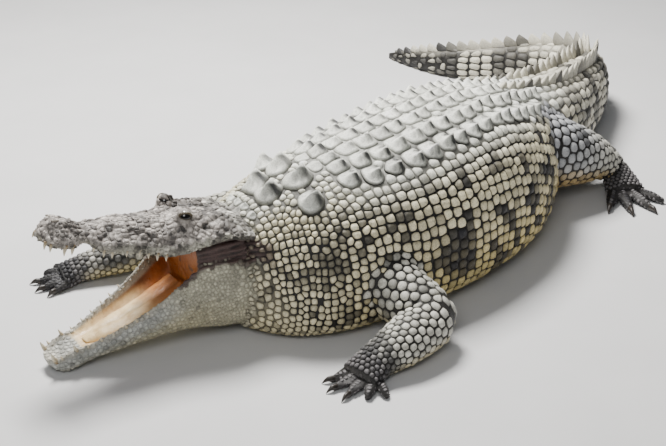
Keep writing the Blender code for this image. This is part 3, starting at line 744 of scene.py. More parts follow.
def hide_material():
    """Scaly hide: the stored marking, with fine mottling, pores and cracks."""
    found = bpy.data.materials.get("scaled_hide")
    if found:
        return found
    recipe = Recipe("scaled_hide")
    marking = recipe.stored()
    mottle = recipe.ramp(recipe.cloud(260, 6, 0.7), (0.30, 0.62), (0.52, 1.0), (0.72, 1.18))
    specks = recipe.ramp(recipe.cloud(620, 3, 0.6), (0.36, 0.45), (0.46, 1.0))
    colour = recipe.blend("MULTIPLY", 1.0, marking, mottle)
    colour = recipe.blend("MULTIPLY", 0.55, colour, specks)
    roughness = recipe.map_range(recipe.cloud(90, 3), 0.3, 0.7, 0.42, 0.66)
    return recipe.finish(colour, roughness, ((recipe.cloud(420, 6, 0.7), 0.0012),
                                             (recipe.crackle(520), 0.0004)))


def mouth_material(name, roughness=0.34):
    """Moist lining: the stored marking, with soft folds and stains."""
    found = bpy.data.materials.get(name)
    if found:
        return found
    recipe = Recipe(name, roughness)
    marking = recipe.stored()
    stain = recipe.ramp(recipe.cloud(38, 5, 0.6), (0.30, (0.62, 0.50, 0.36)), (0.58, (1.0, 1.0, 1.0)))
    colour = recipe.blend("MULTIPLY", 0.8, marking, stain)
    recipe.shader.inputs["Specular IOR Level"].default_value = 0.55
    wetness = recipe.map_range(recipe.cloud(60, 3), 0.3, 0.7, roughness - 0.08, roughness + 0.12)
    return recipe.finish(colour, wetness, ((recipe.cloud(85, 4, 0.55), 0.0022), (recipe.cloud(500, 3), 0.0005)))


# ---------------------------------------------------------------- the skin

KEEP = {}      # the skin, its search tree and the roots of the scales, shared by the operators


def limb_lofts():
    """Lofts of the limbs and their digits."""
    made = []
    for limb, rows in LIMBS.items():
        made.append(loft(limb, [limb_ring(rows, t) for t in np.linspace(0, len(rows) - 1, 70)]))
        made += [loft(f"{limb}_digit", [limb_ring(path, t, True, 20) for t in np.linspace(0, 3, 24)])
                 for path, *_ in digit_paths(limb)]
    return made


def mouth_mask(points, normals=None):
    """1 inside the mouth, 0 on the hide; with normals, the outward faces of the cheek are hide too."""
    u, across, up = jaw_frame(points, UPPER_PITCH)
    v, across_low, height = jaw_frame(points, LOWER_PITCH)
    side, side_low, half_low = np.abs(across), np.abs(across_low), curve_value(JAW_HALF_WIDTH, v)
    roof = ease(-.006, .004, curve_value(HEAD_PALATE, u) + .010 - up)
    roof *= ease(-.006, .006, curve_value(HEAD_HALF_WIDTH, u) * 0.84 - side)
    floor = ease(-.012, .0, height + curve_value(JAW_FLOOR, v) + .012)
    floor *= ease(-.006, .006, half_low - 1.05 * curve_value(JAW_LIP, v) - side_low)
    outer = ease(.70, .86, side_low / half_low) * ease(.74, .78, np.minimum(u, v))
    mask = roof * floor * (1 - outer) * ease(.90, .86, u) * ease(.03, .08, u) * ease(.14, .20, v)
    if normals is not None:
        outward = normals @ jaw_axes(UPPER_PITCH)[1] * np.sign(across)
        mask = mask * (1 - ease(.15, .45, outward) * ease(.66, .71, u) * ease(.4, .6, side / .15))
    return mask


def pocket_mask(points, normals=None):
    """1 on the bare folds behind the corner of the mouth, 0 elsewhere."""
    u, _, up = jaw_frame(points, UPPER_PITCH)
    v, _, height = jaw_frame(points, LOWER_PITCH)
    under_lip = ease(.016, -.008, up - curve_value(HEAD_LIP, u))
    over_jaw = ease(-.022, .004, height - curve_value(JAW_CREST, v))
    return under_lip * over_jaw * ease(.69, .74, u) * ease(1.14, 1.04, u) * (1 - mouth_mask(points, normals))


def on_hide(points):
    """Which places carry scales, off the mouth and the bare folds."""
    return (mouth_mask(points) < .2) & (pocket_mask(points) < .5)


def cheek_folds(points, u, up):
    """Waves of the bare folds, from -1 to 1."""
    return np.sin((up - .35 * u) * math.tau / .026 + noise(points, .045, 5) * 3.2)


def carve_head(points, normals):
    """Folds, ridges, pits and seams of the head, as moves along the skin's normals."""
    u, across, up = jaw_frame(points, UPPER_PITCH)
    v, _, height = jaw_frame(points, LOWER_PITCH)
    side = np.abs(across)
    facing_up = normals @ jaw_axes(UPPER_PITCH)[2]
    above_lip = up - curve_value(HEAD_LIP, u)
    outside = side > curve_value(HEAD_HALF_WIDTH, u) * .7
    on_head = ease(1.05, 1.0, u) * (up > curve_value(HEAD_LIP, u) - 0.01)
    move = np.zeros(len(points))
    crumble = noise(points, .011, 1) * .0013 + noise(points, .022, 2) * .0020 + noise(points, .0065, 3) * .0006
    crumble -= skull_lines(points) * .0026
    move += crumble * on_head * (.25 + .85 * ease(-.2, .4, facing_up))
    ridge = bell(side, .050 + .10 * ease(.30, .66, u), .012) * ease(.28, .40, u) * ease(.66, .60, u)
    move += .0035 * ridge * on_head * (facing_up > 0)
    table_edge = bell(side, .118, .012) * ease(.74, .80, u) * ease(1.0, .94, u)
    move += .0040 * table_edge * on_head * (facing_up > -.2)
    hollow = bell(side, 0, .05) * ease(.74, .79, u) * ease(1.0, .9, u) * (facing_up > .3)
    move -= .0035 * hollow * on_head
    between_eyes = np.exp(-(side / .045) ** 2 - ((u - .69) / .06) ** 2) * (facing_up > .3)
    move -= .004 * between_eyes * on_head
    ear = bell(up, .150 + .10 * (u - .80), .008) * ease(.755, .78, u) * ease(.91, .87, u)
    ear *= side > .115
    move -= .0055 * ear * on_head
    lip_line = bell(above_lip, .022, .006) * outside * ease(.80, .70, u)
    move -= .0014 * lip_line * on_head
    scallop = np.cos(u * math.tau / LIP_SCALLOP) * ease(.03, .0, np.abs(above_lip)) * outside
    move += .0010 * scallop * ease(.75, .65, u) * on_head
    move += (.0020 * cheek_folds(points, u, up) + .0010 * noise(points, .010, 10)) * pocket_mask(points)
    jowl = ease(.62, .80, v) * ease(1.22, 1.05, v) * ease(-.40, -.30, height) * ease(.10, .02, height)
    move += jowl * (noise(points, .022, 8) * .0022 - crevice(points, .017, 9) * .0014)
    chin = ease(-.02, -.10, height) * ease(1.1, .9, v)
    move += chin * (noise(points, .014, 6) * .0010 + noise(points, .007, 7) * .0006)
    return move


def open_eyes(points):
    """Push the skin in where the lids part, so that the eyeballs show."""
    moved = points.copy()
    for side in (-1, 1):
        centre, outward, forward, rise = eye_frame(side)
        rel = points - centre
        reach = np.linalg.norm(rel, axis=1)
        near = reach < EYE_RADIUS * 1.9
        way = unit(rel)
        x, y, z = way @ forward, way @ rise, way @ outward
        inside = ease(1.14, .90, np.hypot(x / .78, (y + .02) / .38)) * (z > 0) * near
        pushed = centre + way * np.minimum(reach, EYE_RADIUS * .82)[:, None]
        moved = moved + (pushed - moved) * inside[:, None]
    return moved


def eye_frame(side):
    """Centre of an eyeball, and its outward, forward and upward directions."""
    axis, right, upright = jaw_axes(UPPER_PITCH)
    u, across, up = EYE_PLACE
    centre = jaw_place(u, side * across, up, UPPER_PITCH)[0]
    outward = unit(side * right * 0.90 + upright * 0.34 + axis * 0.26)
    forward = unit(axis - outward * float(axis @ outward))
    rise = unit(np.cross(outward, forward) * side)
    if rise @ upright < 0:
        rise = -rise
    return centre, outward, forward, rise


def lid_shell(side):
    """A rounded mass round each eyeball that the lids are cut from."""
    centre = eye_frame(side)[0]
    bpy.ops.mesh.primitive_uv_sphere_add(segments=32, ring_count=20, radius=EYE_RADIUS + .0032,
                                         location=centre + SHIFT)
    bpy.ops.object.transform_apply(location=True, rotation=True, scale=True)
    return bpy.context.object


def build_skin():
    """Lofts fused into one skin, smoothed, drawn in by the coat's depth and carved."""
    depth = choices("scales").depth
    deselect()
    parts = [loft("body", [body_ring(s) for s in np.linspace(NECK_START, TAIL_TIP, 300)]),
             loft("upper_head", [head_ring(u) for u in np.linspace(0, 1.04, 110)]),
             loft("jaw", [jaw_ring(u) for u in np.linspace(0, 1.16, 110)]),
             loft("gullet", [gullet_ring(u) for u in np.linspace(.735, .99, 24)]),
             *limb_lofts(), lid_shell(-1), lid_shell(1)]
    skin = join(parts, "skin")
    skin.data.remesh_voxel_size = SKIN_VOXEL
    select(skin)
    bpy.ops.object.voxel_remesh()
    apply_modifier(skin, "SMOOTH", factor=0.5, iterations=5)
    places = points_of(skin) - SHIFT
    u = jaw_frame(places, UPPER_PITCH)[0]
    group = skin.vertex_groups.new(name="coarse")
    for low, high, weight in ((1.25, math.inf, 1.0), (1.06, 1.25, 0.5)):
        group.add(np.nonzero((u > low) & (u <= high))[0].tolist(), weight, "REPLACE")
    triangles = sum(len(face.vertices) - 2 for face in skin.data.polygons)
    apply_modifier(skin, "DECIMATE", ratio=min(1, SKIN_TRIANGLES / triangles), vertex_group="coarse",
                   vertex_group_factor=1.0, use_collapse_triangulate=True)
    skin.vertex_groups.clear()
    places, normals = points_of(skin) - SHIFT, normals_of(skin)
    on_head = ease(1.12, 1.0, jaw_frame(places, UPPER_PITCH)[0])
    back = ease(.55, .95, normals[:, 2]) * ease(.16, .24, places[:, 2]) * (1 - on_head)
    places = places - normals * (depth * (1 - .5 * on_head) + .004 * back)[:, None]
    places = places + normals * carve_head(places, normals)[:, None]
    places = open_eyes(places)
    places[:, 2] = np.maximum(places[:, 2], depth * .8)
    set_points(skin, places + SHIFT)
    skin.data.shade_smooth()
    return skin


# ---------------------------------------------------------------- roots of the scales

# The edge of a root says how far its scale's rim and the skin round it are darkened to the groove colour, as
# darker skin and painted shade in the grooves.
FIELDS = ("place", "normal", "along", "pitch", "height", "dome", "keel", "gap", "edge", "colour", "map",
          "kind")
KINDS = {"scute": 0, "body": 1, "crest": 2, "limb": 3, "head": 4, "jaw": 5}


def search_tree(places):
    """Search tree over places."""
    tree = KDTree(len(places))
    for i, place in enumerate(places):
        tree.insert(place, i)
    tree.balance()
    return tree


def snap(points, limit):
    """Nearest skin place and normal of each point, and which points are within the limit."""
    tree = KEEP["tree"]
    places, normals = np.array(points), np.zeros((len(points), 3))
    near = np.zeros(len(points), bool)
    for i, point in enumerate(points):
        place, normal, _, distance = tree.find_nearest(point)
        if place is not None:
            places[i], normals[i], near[i] = place, normal, distance < limit
    return places, normals, near


def around(ring_at, station, step, limit=1.0, shift=0.0, ahead=0.01):
    """Places at equal steps round a ring, from its start down both sides.

    Gives places, directions along the part, the signed share of half the ring, and the fitted step."""
    ends = []
    for ring in (ring_at(station), ring_at(station + ahead)):
        closed = np.vstack((ring, ring[:1]))
        run = np.concatenate(([0], np.cumsum(np.linalg.norm(np.diff(closed, axis=0), axis=1))))
        ends.append((closed, run))
    total = ends[0][1][-1]
    count = max(2, int(round(total / step)))
    shares = (np.arange(count) + shift) / count
    signed = np.where(shares > .5, shares - 1, shares) * 2
    keep = np.abs(signed) <= limit
    shares, signed = shares[keep], signed[keep]
    here, later = (np.stack([np.interp(shares * run[-1], run, closed[:, c]) for c in range(3)], 1)
                   for closed, run in ends)
    return here, later - here, signed, total / count


class Roots:
    """The growing list of scale roots."""

    def __init__(self):
        self.table = {name: [] for name in FIELDS}
        self.dice = np.random.default_rng(choices("scales").seed)

    def near(self, places, size, crowd):
        """Which places lie too close to a root already kept, or on a large scute."""
        if not self.table["place"]:
            return np.zeros(len(places), bool)
        kept, kind = np.concatenate(self.table["place"]), np.concatenate(self.table["kind"])
        large = np.nonzero(kind == KINDS["scute"])[0]
        reach = .50 * np.concatenate(self.table["pitch"])[large].mean(axis=1)
        away = np.linalg.norm(places[:, None] - kept[None, large], axis=2)
        covered = (away < reach[None, :] + .28 * size[:, None]).any(axis=1)
        tree = search_tree(kept)
        return covered | np.array([tree.find(place)[2] < crowd * size[i] for i, place in enumerate(places)])

    def add(self, kind, places, along, pitch, height, dome, keel, gap, edge, colour, chart, jitter, limit,
            crowd):
        """Snap new roots to the skin and keep those that have room."""
        count = len(places)
        if not count:
            return
        pitch = np.asarray(pitch, float) * self.dice.uniform(1 - jitter, 1 + jitter, (count, 2))
        wobble = self.dice.normal(size=(count, 3)) * jitter * pitch.min(axis=1)[:, None]
        spots, normals, near = snap(places + wobble, limit)
        near &= ~self.near(spots, pitch.mean(axis=1), crowd)
        values = dict(place=spots, normal=normals, along=unit(along), pitch=pitch, colour=colour, map=chart)
        single = dict(height=height, dome=dome, keel=keel, gap=gap, edge=edge, kind=KINDS[kind])
        for name, value in single.items():
            values[name] = np.broadcast_to(np.asarray(value, float), count)
        for name in FIELDS:
            self.table[name].append(np.array(values[name])[near])

    def done(self):
        """The kept roots, one array for each field."""
        return {name: np.concatenate(values) for name, values in self.table.items()}


def lerp(first, second, share):
    """Blend of two colours or arrays of colours."""
    share = np.asarray(share)[:, None]
    return np.array(first) * (1 - share) + np.array(second) * share


def varied(colours, dice, spread, low, high):
    """Colours made lighter or darker by chance, one by one."""
    return colours * np.clip(1 + spread * dice.normal(size=len(colours)), low, high)[:, None]


def body_colour(s, side, places, dice):
    """Marking of the body at distance s and signed share of half the ring."""
    c, count, out = choices("hide"), len(s), np.abs(side)
    flank = lerp(c.back, c.flank, ease(.20, .36, out))
    flank = lerp(flank, c.belly, ease(.40, .62, out) * .9)
    neck = lerp(lerp(c.neck, c.back, ease(.24, .08, out) * .7), c.belly, ease(.5, .8, out) * .4)
    colour = lerp(flank, neck, ease(.34, .12, s))
    colour = lerp(colour, c.tail, ease(1.05, 1.35, s))
    blotch = noise(places, .050, 11) + .7 * noise(places, .030, 12) + .40 * dice.normal(size=count)
    low = ease(.26, .46, out) * ease(.12, .42, s)
    amount = ease(.56 - .42 * low, .80 - .36 * low, blotch) * ease(.20, .34, out) * ease(.98, .72, out)
    amount *= 1 - .30 * ease(.30, .10, s)
    line = ease(.070, .020, np.abs(out - .31)) * ease(.08, .14, s) * ease(.80, .62, s)
    broken = ease(.05, .55, noise(places, .045, 14) + .3 * dice.normal(size=count))
    amount = np.maximum(amount, .85 * line * broken)
    bands = np.sin(s * math.tau / TAIL_BAND + .8 * noise(places, .12, 13))
    bands = ease(.1, .7, bands + .35 * dice.normal(size=count))
    amount = np.maximum(amount, bands * ease(1.15, 1.5, s) * .9)
    amount = np.maximum(amount, ease(2.30, 2.55, s) * .7)
    colour = lerp(colour, c.blotch, amount * dice.uniform(.82, 1.0, count))
    return varied(colour, dice, .17, .5, 1.25)


def back_rows(length):
    """Rows of the scutes: (distance, places across, rise of the keel, length)."""
    rows, s = list(NAPE_SCUTES), BACK_START
    while s < BACK_END:
        columns = BACK_COLUMNS if s <= BACK_NARROWS else BACK_COLUMNS[1:-1]
        rows.append((s, [k * value_at(BACK_SPREAD, s) for k in columns], BACK_RISE, length))
        s += length
    return rows


def plan_back(roots):
    """Nuchal shield and the rows of keeled scutes of the back."""
    sizes, c, dice = choices("scales"), choices("hide"), roots.dice
    quarter = 60        # points over a quarter of the ring
    for s, columns, rise, size in back_rows(sizes.scute_length):
        ring, later = body_ring(s, 4 * quarter), body_ring(s + .01, 4 * quarter)
        run = np.concatenate(([0], np.cumsum(np.linalg.norm(np.diff(ring[:quarter], axis=0), axis=1))))
        columns = np.array(columns)
        out = np.abs(columns)
        index = np.rint(np.interp(out, run, np.arange(quarter))).astype(int)
        index = np.where(columns > 0, index, -index)
        places, count = ring[index], len(columns)
        width = size * (1.10 if rise > .8 else .9)
        tone = .90 if rise > 1 else .80 if rise < .6 else 1
        dark = ease(.3, 1.0, noise(places, .07, 21) + .3 * dice.normal(size=count))
        colour = varied(tone * lerp(c.back, c.blotch, dark * .12), dice, .10, .70, 1.12)
        # Rims darkened to the groove colour as darker skin and painted shade, more on the outer columns and by
        # chance.
        edge = .45 + .45 * ease(.09, .15, out) + dice.uniform(-.1, .25, count)
        keel = sizes.keel * rise * (.80 + .32 * out / .15) * dice.uniform(.80, 1.15, count)
        roots.add("scute", places, later[index] - places, (size * .98, width), .0022 + .003 * rise, .0010, keel,
                  sizes.groove, edge, colour, body_chart(s, columns / .6), jitter=.05, limit=.02, crowd=.3)


def body_chart(s, side):
    """Place of a root on the unwrap of the body."""
    s, side = np.broadcast_arrays(np.atleast_1d(np.asarray(s, float)), np.asarray(side, float))
    return np.stack((.02 + .96 * (s - NECK_START) / (TAIL_TIP - NECK_START), .25 + .23 * side), 1)


def chart_column(left, middle, spread, side):
    """Places on the unwrap of one ring of roots of a limb or of the head."""
    return np.stack((np.full(len(side), left), middle + spread * side), 1)


def plan_body(roots):
    """Beads of the neck, scales of the flanks and belly, and whorls of the tail."""
    sizes, c = choices("scales"), choices("hide")
    s, row = .012, 0
    while s < TAIL_TIP - .012:
        neck, tail = float(ease(.42, .12, s)), float(ease(.96, 1.12, s))
        grown = 1 + .16 * float(ease(.55, .90, s))
        long = sizes.flank_length * grown * (1 - neck) + sizes.neck_length * neck
        wide = sizes.flank_width * grown * (1 - neck) + sizes.neck_width * neck
        whorl = value_at(CREST_PITCH, s)
        long, wide = long + (whorl - long) * tail, wide + (.60 * whorl - wide) * tail
        spots, along, side, width = around(lambda d: body_ring(d, 160), s, wide,
                                           shift=(.5 if neck > .4 else .15) * (row % 2))
        out = np.abs(side)
        belly = ease(.66, .80, out)
        height = (.0028 - .0004 * neck) * (1 - .6 * belly) * (1 - .3 * tail)
        dome = (.0034 + .0008 * neck) * (1 - .7 * belly)
        keel = .0015 * ease(.45, .2, out) * (1 - neck) + .0012 * tail
        # Rims darkened to the groove colour as darker skin and painted shade, more on the flanks and the neck.
        edge = np.maximum(.40 + .52 * ease(.16, .30, out), .85 * ease(.34, .20, s))
        colour = body_colour(np.full(len(side), s), side, spots, roots.dice)
        # Scales by the cheek pocket take its dark colour, partly painted shade.
        colour = lerp(colour, c.pocket, .8 * ease(.05, .35, pocket_mask(spots)))
        roots.add("body", spots, along, (long, width), height, dome, keel, sizes.groove, edge, colour,
                  body_chart(s, side), jitter=.09 + .07 * neck, limit=.02, crowd=.60)
        s += long
        row += 1


def limb_colour(limb, t, place, normal_up, dice):
    """Marking of a limb at station t."""
    c, arm = choices("hide"), limb.startswith("arm")
    colour = c.limb if arm else lerp(c.limb, LEG_GREY, ease(3.0, 1.2, t) * .85)
    colour = lerp(colour, c.foot, ease(3.4, 4.4, t))
    under = ease(-.05, -.6, normal_up) * ease(4.2, 3.4, t)
    colour = lerp(colour, c.belly, under * .5) if arm else lerp(colour, c.thigh_underside, under * .85)
    blotch = noise(place, .055, 31) + .5 * noise(place, .028, 32) + .3 * dice.normal(size=len(place))
    lower = .30 * ease(1.8, 3.2, t)
    dark = ease(.62 - lower, 1.1 - lower, blotch) * .8
    if limb == "arm_right":
        dark = np.maximum(dark, ease(-.1, .5, np.sin(t * 4.2)) * .85 * ease(-.6, .1, normal_up))
        colour = lerp(colour, c.belly, ease(.3, -.3, normal_up) * ease(4.4, 3.6, t) * .6)
    colour = lerp(colour, c.blotch, dark * (1 - .7 * under))
    return varied(colour, dice, .15, .6, 1.35)


def plan_limbs(roots):
    """Plates of the limbs, down to the wrists and ankles, the hands and the digits."""
    for number, (limb, rows) in enumerate(LIMBS.items()):
        kind = limb.split("_")[0]
        t, row = .25, 0
        while t < 4.95:
            here, ahead = path_at(rows, t), path_at(rows, min(t + .05, 5))
            speed = max(np.linalg.norm(ahead[:3] - here[:3]) / .05, .02)
            long = value_at(LIMB_PLATE_LENGTH[kind], t)
            spots, along, side, width = around(lambda d: limb_ring(rows, min(d, 5), points=72), t,
                                               long * value_at(LIMB_PLATE_WIDTH, t),
                                               shift=.5 * (row % 2), ahead=.03)
            up = np.cos(side * math.pi)
            colour = limb_colour(limb, np.full(len(side), t), spots, up, roots.dice)
            chart = chart_column(.02 + .19 * t / 5 + .25 * number, .60, .09, side)
            roots.add("limb", spots, along, (long, width), .0014 + .05 * long, .0014 + .06 * long, .0006,
                      .0006 + .010 * long, .9, colour, chart, jitter=.06, limit=.016, crowd=.62)
            t += long / speed
            row += 1
        long = DIGIT_PLATE_LENGTH[kind]
        for digit, (path, _, radius, _) in enumerate(digit_paths(limb)):
            reach = np.linalg.norm(np.array(path[-1][:2]) - np.array(path[0][:2]))
            for place in np.arange(.022, reach - .004, long):
                t = 3 * place / reach
                spots, along, side, _ = around(lambda d: limb_ring(path, min(d, 3), True, 40), t, radius * 1.5,
                                               ahead=.05, limit=.78)
                colour = limb_colour(limb, np.full(len(side), 5.0), spots, np.ones(len(side)), roots.dice)
                chart = chart_column(.02 + .19 * t / 3 + .25 * number, .74 + .022 * digit, .008, side)
                roots.add("limb", spots, along, (long, radius * 1.5), .0009, .0006, .0, .0011, .8, colour,
                          chart, jitter=.03, limit=.007, crowd=.5)


def head_colour(u, up, places, facing_up, dice):
    """Marking of the upper head."""
    c = choices("hide")
    colour = lerp(c.snout, c.back, ease(.80, 1.0, u) * ease(.0, .6, facing_up) * .5)
    colour = lerp(colour, CHEEK_CREAM, ease(.45, .15, facing_up) * ease(.20, .40, u) * .7)
    stain = noise(places, .030, 41) + .8 * noise(places, .013, 42) + .40 * dice.normal(size=len(u))
    colour = lerp(colour, HEAD_STAIN, ease(-.05, .85, stain + .35 * ease(.62, .9, u)) * .80)
    lip = ease(.026, .0, up - curve_value(HEAD_LIP, u)) * ease(.78, .70, u)
    colour = lerp(colour, UPPER_LIP_CREAM, lip * .55)
    return varied(colour, dice, .15, .6, 1.3)


def jaw_colour(v, height, places, dice):
    """Marking of the lower jaw."""
    c = choices("hide")
    colour = lerp(c.jaw, c.jowl, ease(.50, .70, v))
    colour = lerp(colour, c.neck, ease(-.10, -.30, height) * .6)
    colour = lerp(colour, THROAT_YELLOW, ease(-.04, -.14, height) * ease(.9, .5, v) * .6)
    stain = noise(places, .026, 51) + .8 * noise(places, .014, 52) + .15 * dice.normal(size=len(v))
    colour = lerp(colour, JAW_STAIN, ease(.40, 1.4, stain) * ease(-.36, -.20, height) * .60)
    lip = ease(-.030, -.004, height - curve_value(JAW_CREST, v)) * ease(.66, .58, v)
    colour = lerp(colour, LOWER_LIP_CREAM, lip * .5)
    return varied(colour, dice, .11, .6, 1.3)


def plan_skull(roots):
    """Small plates of the upper head."""
    u, row = .012, 0
    while u < 1.03:
        step = value_at(HEAD_PLATE, u)
        half, top, lip = (value_at(table, u) for table in (HEAD_HALF_WIDTH, HEAD_TOP, HEAD_LIP))
        spots, along, side, _ = around(head_ring, u, step * .95, shift=.5 * (row % 2), ahead=.005)
        _, across, up = jaw_frame(spots, UPPER_PITCH)
        keep = ((up > lip + .004) | (np.abs(across) > half * .93)) & on_hide(spots)
        for eye in (-1, 1):
            keep &= np.linalg.norm(spots - eye_frame(eye)[0], axis=1) > EYE_RADIUS * 1.18
        spots, along, side, up = spots[keep], along[keep], side[keep], up[keep]
        facing = ease(lip, top, up)
        colour = head_colour(np.full(len(side), u), up, spots, facing, roots.dice)
        height = .0002 + roots.dice.uniform(0, .0008, len(side)) * (.3 + .7 * facing)
        edge = .30 + .45 * roots.dice.uniform(0, 1, len(side))
        roots.add("head", spots, along, (step * 1.15, step * .95), height, .0010, .0006, .0005, edge, colour,
                  chart_column(.02 + .28 * u, .89, .09, side), jitter=.24, limit=.012, crowd=.56)
        u += step * 1.10 / HEAD_LENGTH
        row += 1


def plan_fringe(roots):
    """The fringe of larger plates behind the jowl."""
    for v, size, top in JOWL_FRINGE:
        spots, along, side, _ = around(jaw_ring, v, size * .62, ahead=.005)
        keep = jaw_frame(spots, LOWER_PITCH)[2] < top
        spots, along, side = spots[keep], along[keep], side[keep]
        colour = varied(np.tile(FRINGE_CREAM, (len(side), 1)), roots.dice, .08, .8, 1.1)
        roots.add("jaw", spots, along, (size, size * .62), .0026, .0022, .0, .0010, .8, colour,
                  chart_column(.34 + .28 * v, .89, .09, side), jitter=.05, limit=.012, crowd=.6)


def plan_jaw(roots):
    """Small plates of the lower jaw, with beads under its joint."""
    v, row = .02, 0
    while v < 1.15:
        step = value_at(JAW_PLATE, v)
        half, depth, lip = (value_at(table, v) for table in (JAW_HALF_WIDTH, JAW_DEPTH, JAW_LIP))
        spots, along, side, _ = around(jaw_ring, v, step * 1.25, shift=.5 * (row % 2), ahead=.005)
        _, across, height = jaw_frame(spots, LOWER_PITCH)
        keep = (np.abs(across) > half - .95 * lip) | (height < -depth * .6) | (v < .17)
        keep &= on_hide(spots)
        spots, along, side, height = spots[keep], along[keep], side[keep], height[keep]
        colour = jaw_colour(np.full(len(side), v), height, spots, roots.dice)
        # Scales by the cheek pocket take its dark colour, partly painted shade.
        colour = lerp(colour, choices("hide").pocket, .85 * ease(.01, .2, pocket_mask(spots)))
        beads = float(ease(.92, 1.08, v))
        roots.add("jaw", spots, along, (step, step * 1.25), .0006 + .05 * step + .0012 * beads,
                  .0006 + .0018 * beads, .0, .0009 + .0004 * beads, .42 + .45 * beads, colour,
                  chart_column(.34 + .28 * v, .89, .09, side), jitter=.18, limit=.012, crowd=.60)
        v += step / HEAD_LENGTH
        row += 1


def plan_roots():
    """All roots, the larger scales first."""
    roots = Roots()
    for plan in (plan_back, plan_limbs, plan_skull, plan_fringe, plan_jaw, plan_body):
        plan(roots)
    KEEP["roots"] = roots.done()
    KEEP["root_tree"] = search_tree(KEEP["roots"]["place"])


# ---------------------------------------------------------------- scales

KEEL_SIDES = 20      # sides of the keeled scutes, which have corners on the line of the keel
KEEL_FLUTES = 13     # flutes round the tip of a keel
SUNK = .0016         # how far the rim of a scale lies under the skin
CROWN = (0.0, 1.0, 1.0)     # the middle of a scale
# Rings of a scale from its sunk rim to its top: (share of the radius, height, dome share).
PROFILES = {
    "large": ((1.0, -.9, 0), (.985, .35, 0), (.91, .86, .1), (.76, 1.0, .4), (.58, 1.0, .7), (.40, 1.0, .85),
              (.20, 1.0, .95)),
    "plain": ((1.0, -.9, 0), (.97, .40, 0), (.84, .88, .22), (.50, 1.0, .76)),
    "small": ((1.0, -1.1, 0), (.93, .60, 0), (.60, 1.0, .6)),
}


def cell_radii(chosen, sides):
    """Reach of each scale in each direction, up to its neighbours."""
    table, tree = KEEP["roots"], KEEP["root_tree"]
    place, normal = table["place"], table["normal"]
    ahead = unit(table["along"] - normal * np.sum(table["along"] * normal, axis=1)[:, None])
    across = np.cross(normal, ahead)
    angle = (np.arange(sides) + (0 if sides == KEEL_SIDES else .5)) / sides * math.tau
    cos, sin = np.cos(angle), np.sin(angle)
    half = table["pitch"][chosen] * .68
    limit = (np.abs(cos / half[:, :1]) ** 4 + np.abs(sin / half[:, 1:]) ** 4) ** -.25
    power = limit ** -9.0
    mean = table["pitch"].mean(axis=1)
    neighbours = 13
    for n, i in enumerate(chosen):
        for _, j, distance in tree.find_n(place[i], neighbours):
            if j == i or distance < 1e-6:
                continue
            rel = place[j] - place[i]
            x, y = rel @ ahead[i], rel @ across[i]
            share = mean[i] / (mean[i] + mean[j])
            reach = (x * x + y * y) * share / np.maximum(x * cos + y * sin, 1e-6)
            power[n] += np.minimum(reach, 1.0) ** -9.0
    radii = power ** (-1 / 9.0) - table["gap"][chosen][:, None] / 2
    return np.maximum(radii, .0012), ahead[chosen], across[chosen], cos, sin


def grow_scales(name, kind, profile, sides, crumble, split=1):
    """One piece of joined scales that stand on the skin, or several."""
    parts = np.array_split(np.nonzero(KEEP["roots"]["kind"] == KINDS[kind])[0], split)
    for number, chosen in enumerate(parts, 1):
        scale_piece(name if split == 1 else f"{name}_{number}", chosen, PROFILES[profile], sides, crumble)


def scale_piece(name, chosen, profile, sides, crumble):
    """One joined mesh of scales."""
    cell = cell_radii(chosen, sides)
    places, ring_share = shape_scales(chosen, profile, cell, crumble)
    made = mesh_object(name, places, scale_faces(len(chosen), sides, len(profile)))
    set_colour(made, paint_scales(chosen, profile, cell, places, ring_share))
    bake_map(made, KEEP["roots"]["map"][chosen], sides, ring_share)
    dress(made, hide_material(), "hide")


def shape_scales(chosen, profile, cell, crumble):
    """Places of the vertices of scales, and the share of the radius that each lies at, below 0 where sunk."""
    table = KEEP["roots"]
    radii, ahead, across, cos, sin = cell
    centre, normal = table["place"][chosen], table["normal"][chosen]
    count, sides = radii.shape
    height, dome, keel = (table[key][chosen][:, None] for key in ("height", "dome", "keel"))
    flat = ahead[:, None, :] * cos[None, :, None] + across[:, None, :] * sin[None, :, None]
    flat = radii[:, :, None] * flat
    rim = centre[:, None, :] + flat
    snapped, rim_normal, near = snap(rim.reshape(-1, 3), .02)
    snapped, rim_normal = snapped.reshape(rim.shape), rim_normal.reshape(rim.shape)
    drop = np.where(near.reshape(count, sides, 1), snapped - rim, 0)
    long, wide = table["pitch"][chosen][:, :1] * .5, table["pitch"][chosen][:, 1:] * .5
    sharp = 1.6 + .7 * (keel > .019)
    layers, shares = [], []
    for share, rise, bulge in (*profile, CROWN):
        x, y = radii * cos * share, radii * sin * share
        ridge = np.maximum(1 - np.abs(y) / (.85 * wide), 0) ** sharp * ease(-1.25, .62, x / long)
        ridge = keel * ridge * ease(1.0, .58, x / long)
        fluted = .0009 * np.cos(np.arctan2(y, x - .5 * long) * KEEL_FLUTES)
        ridge = ridge + fluted * ease(.15, .5, share) * ease(1.0, .85, share) * (keel > .011)
        lift = height * rise + dome * bulge + ridge * (rise > 0) * ease(1.0, .8, share)
        lift = np.where(rise < 0, -SUNK, lift)
        way = unit(normal[:, None, :] * (1 - share * .8) + rim_normal * share * .8)
        spots = centre[:, None, :] + flat * share + drop * share ** 2 + way * lift[:, :, None]
        layers.append(spots if share else spots.mean(axis=1, keepdims=True))
        shares.append(np.full((count, sides if share else 1), rise if rise < 0 else share))
    places = np.concatenate(layers, axis=1)
    out = np.repeat(normal, places.shape[1], axis=0)
    places, ring_share = places.reshape(-1, 3), np.concatenate(shares, axis=1).ravel()
    rough = noise(places, .0060, 61) * .7 + noise(places, .014, 62) * .8
    places = places + out * (crumble * rough * (ring_share >= 0))[:, None]
    places[:, 2] = np.maximum(places[:, 2], 0.0)
    return places, ring_share


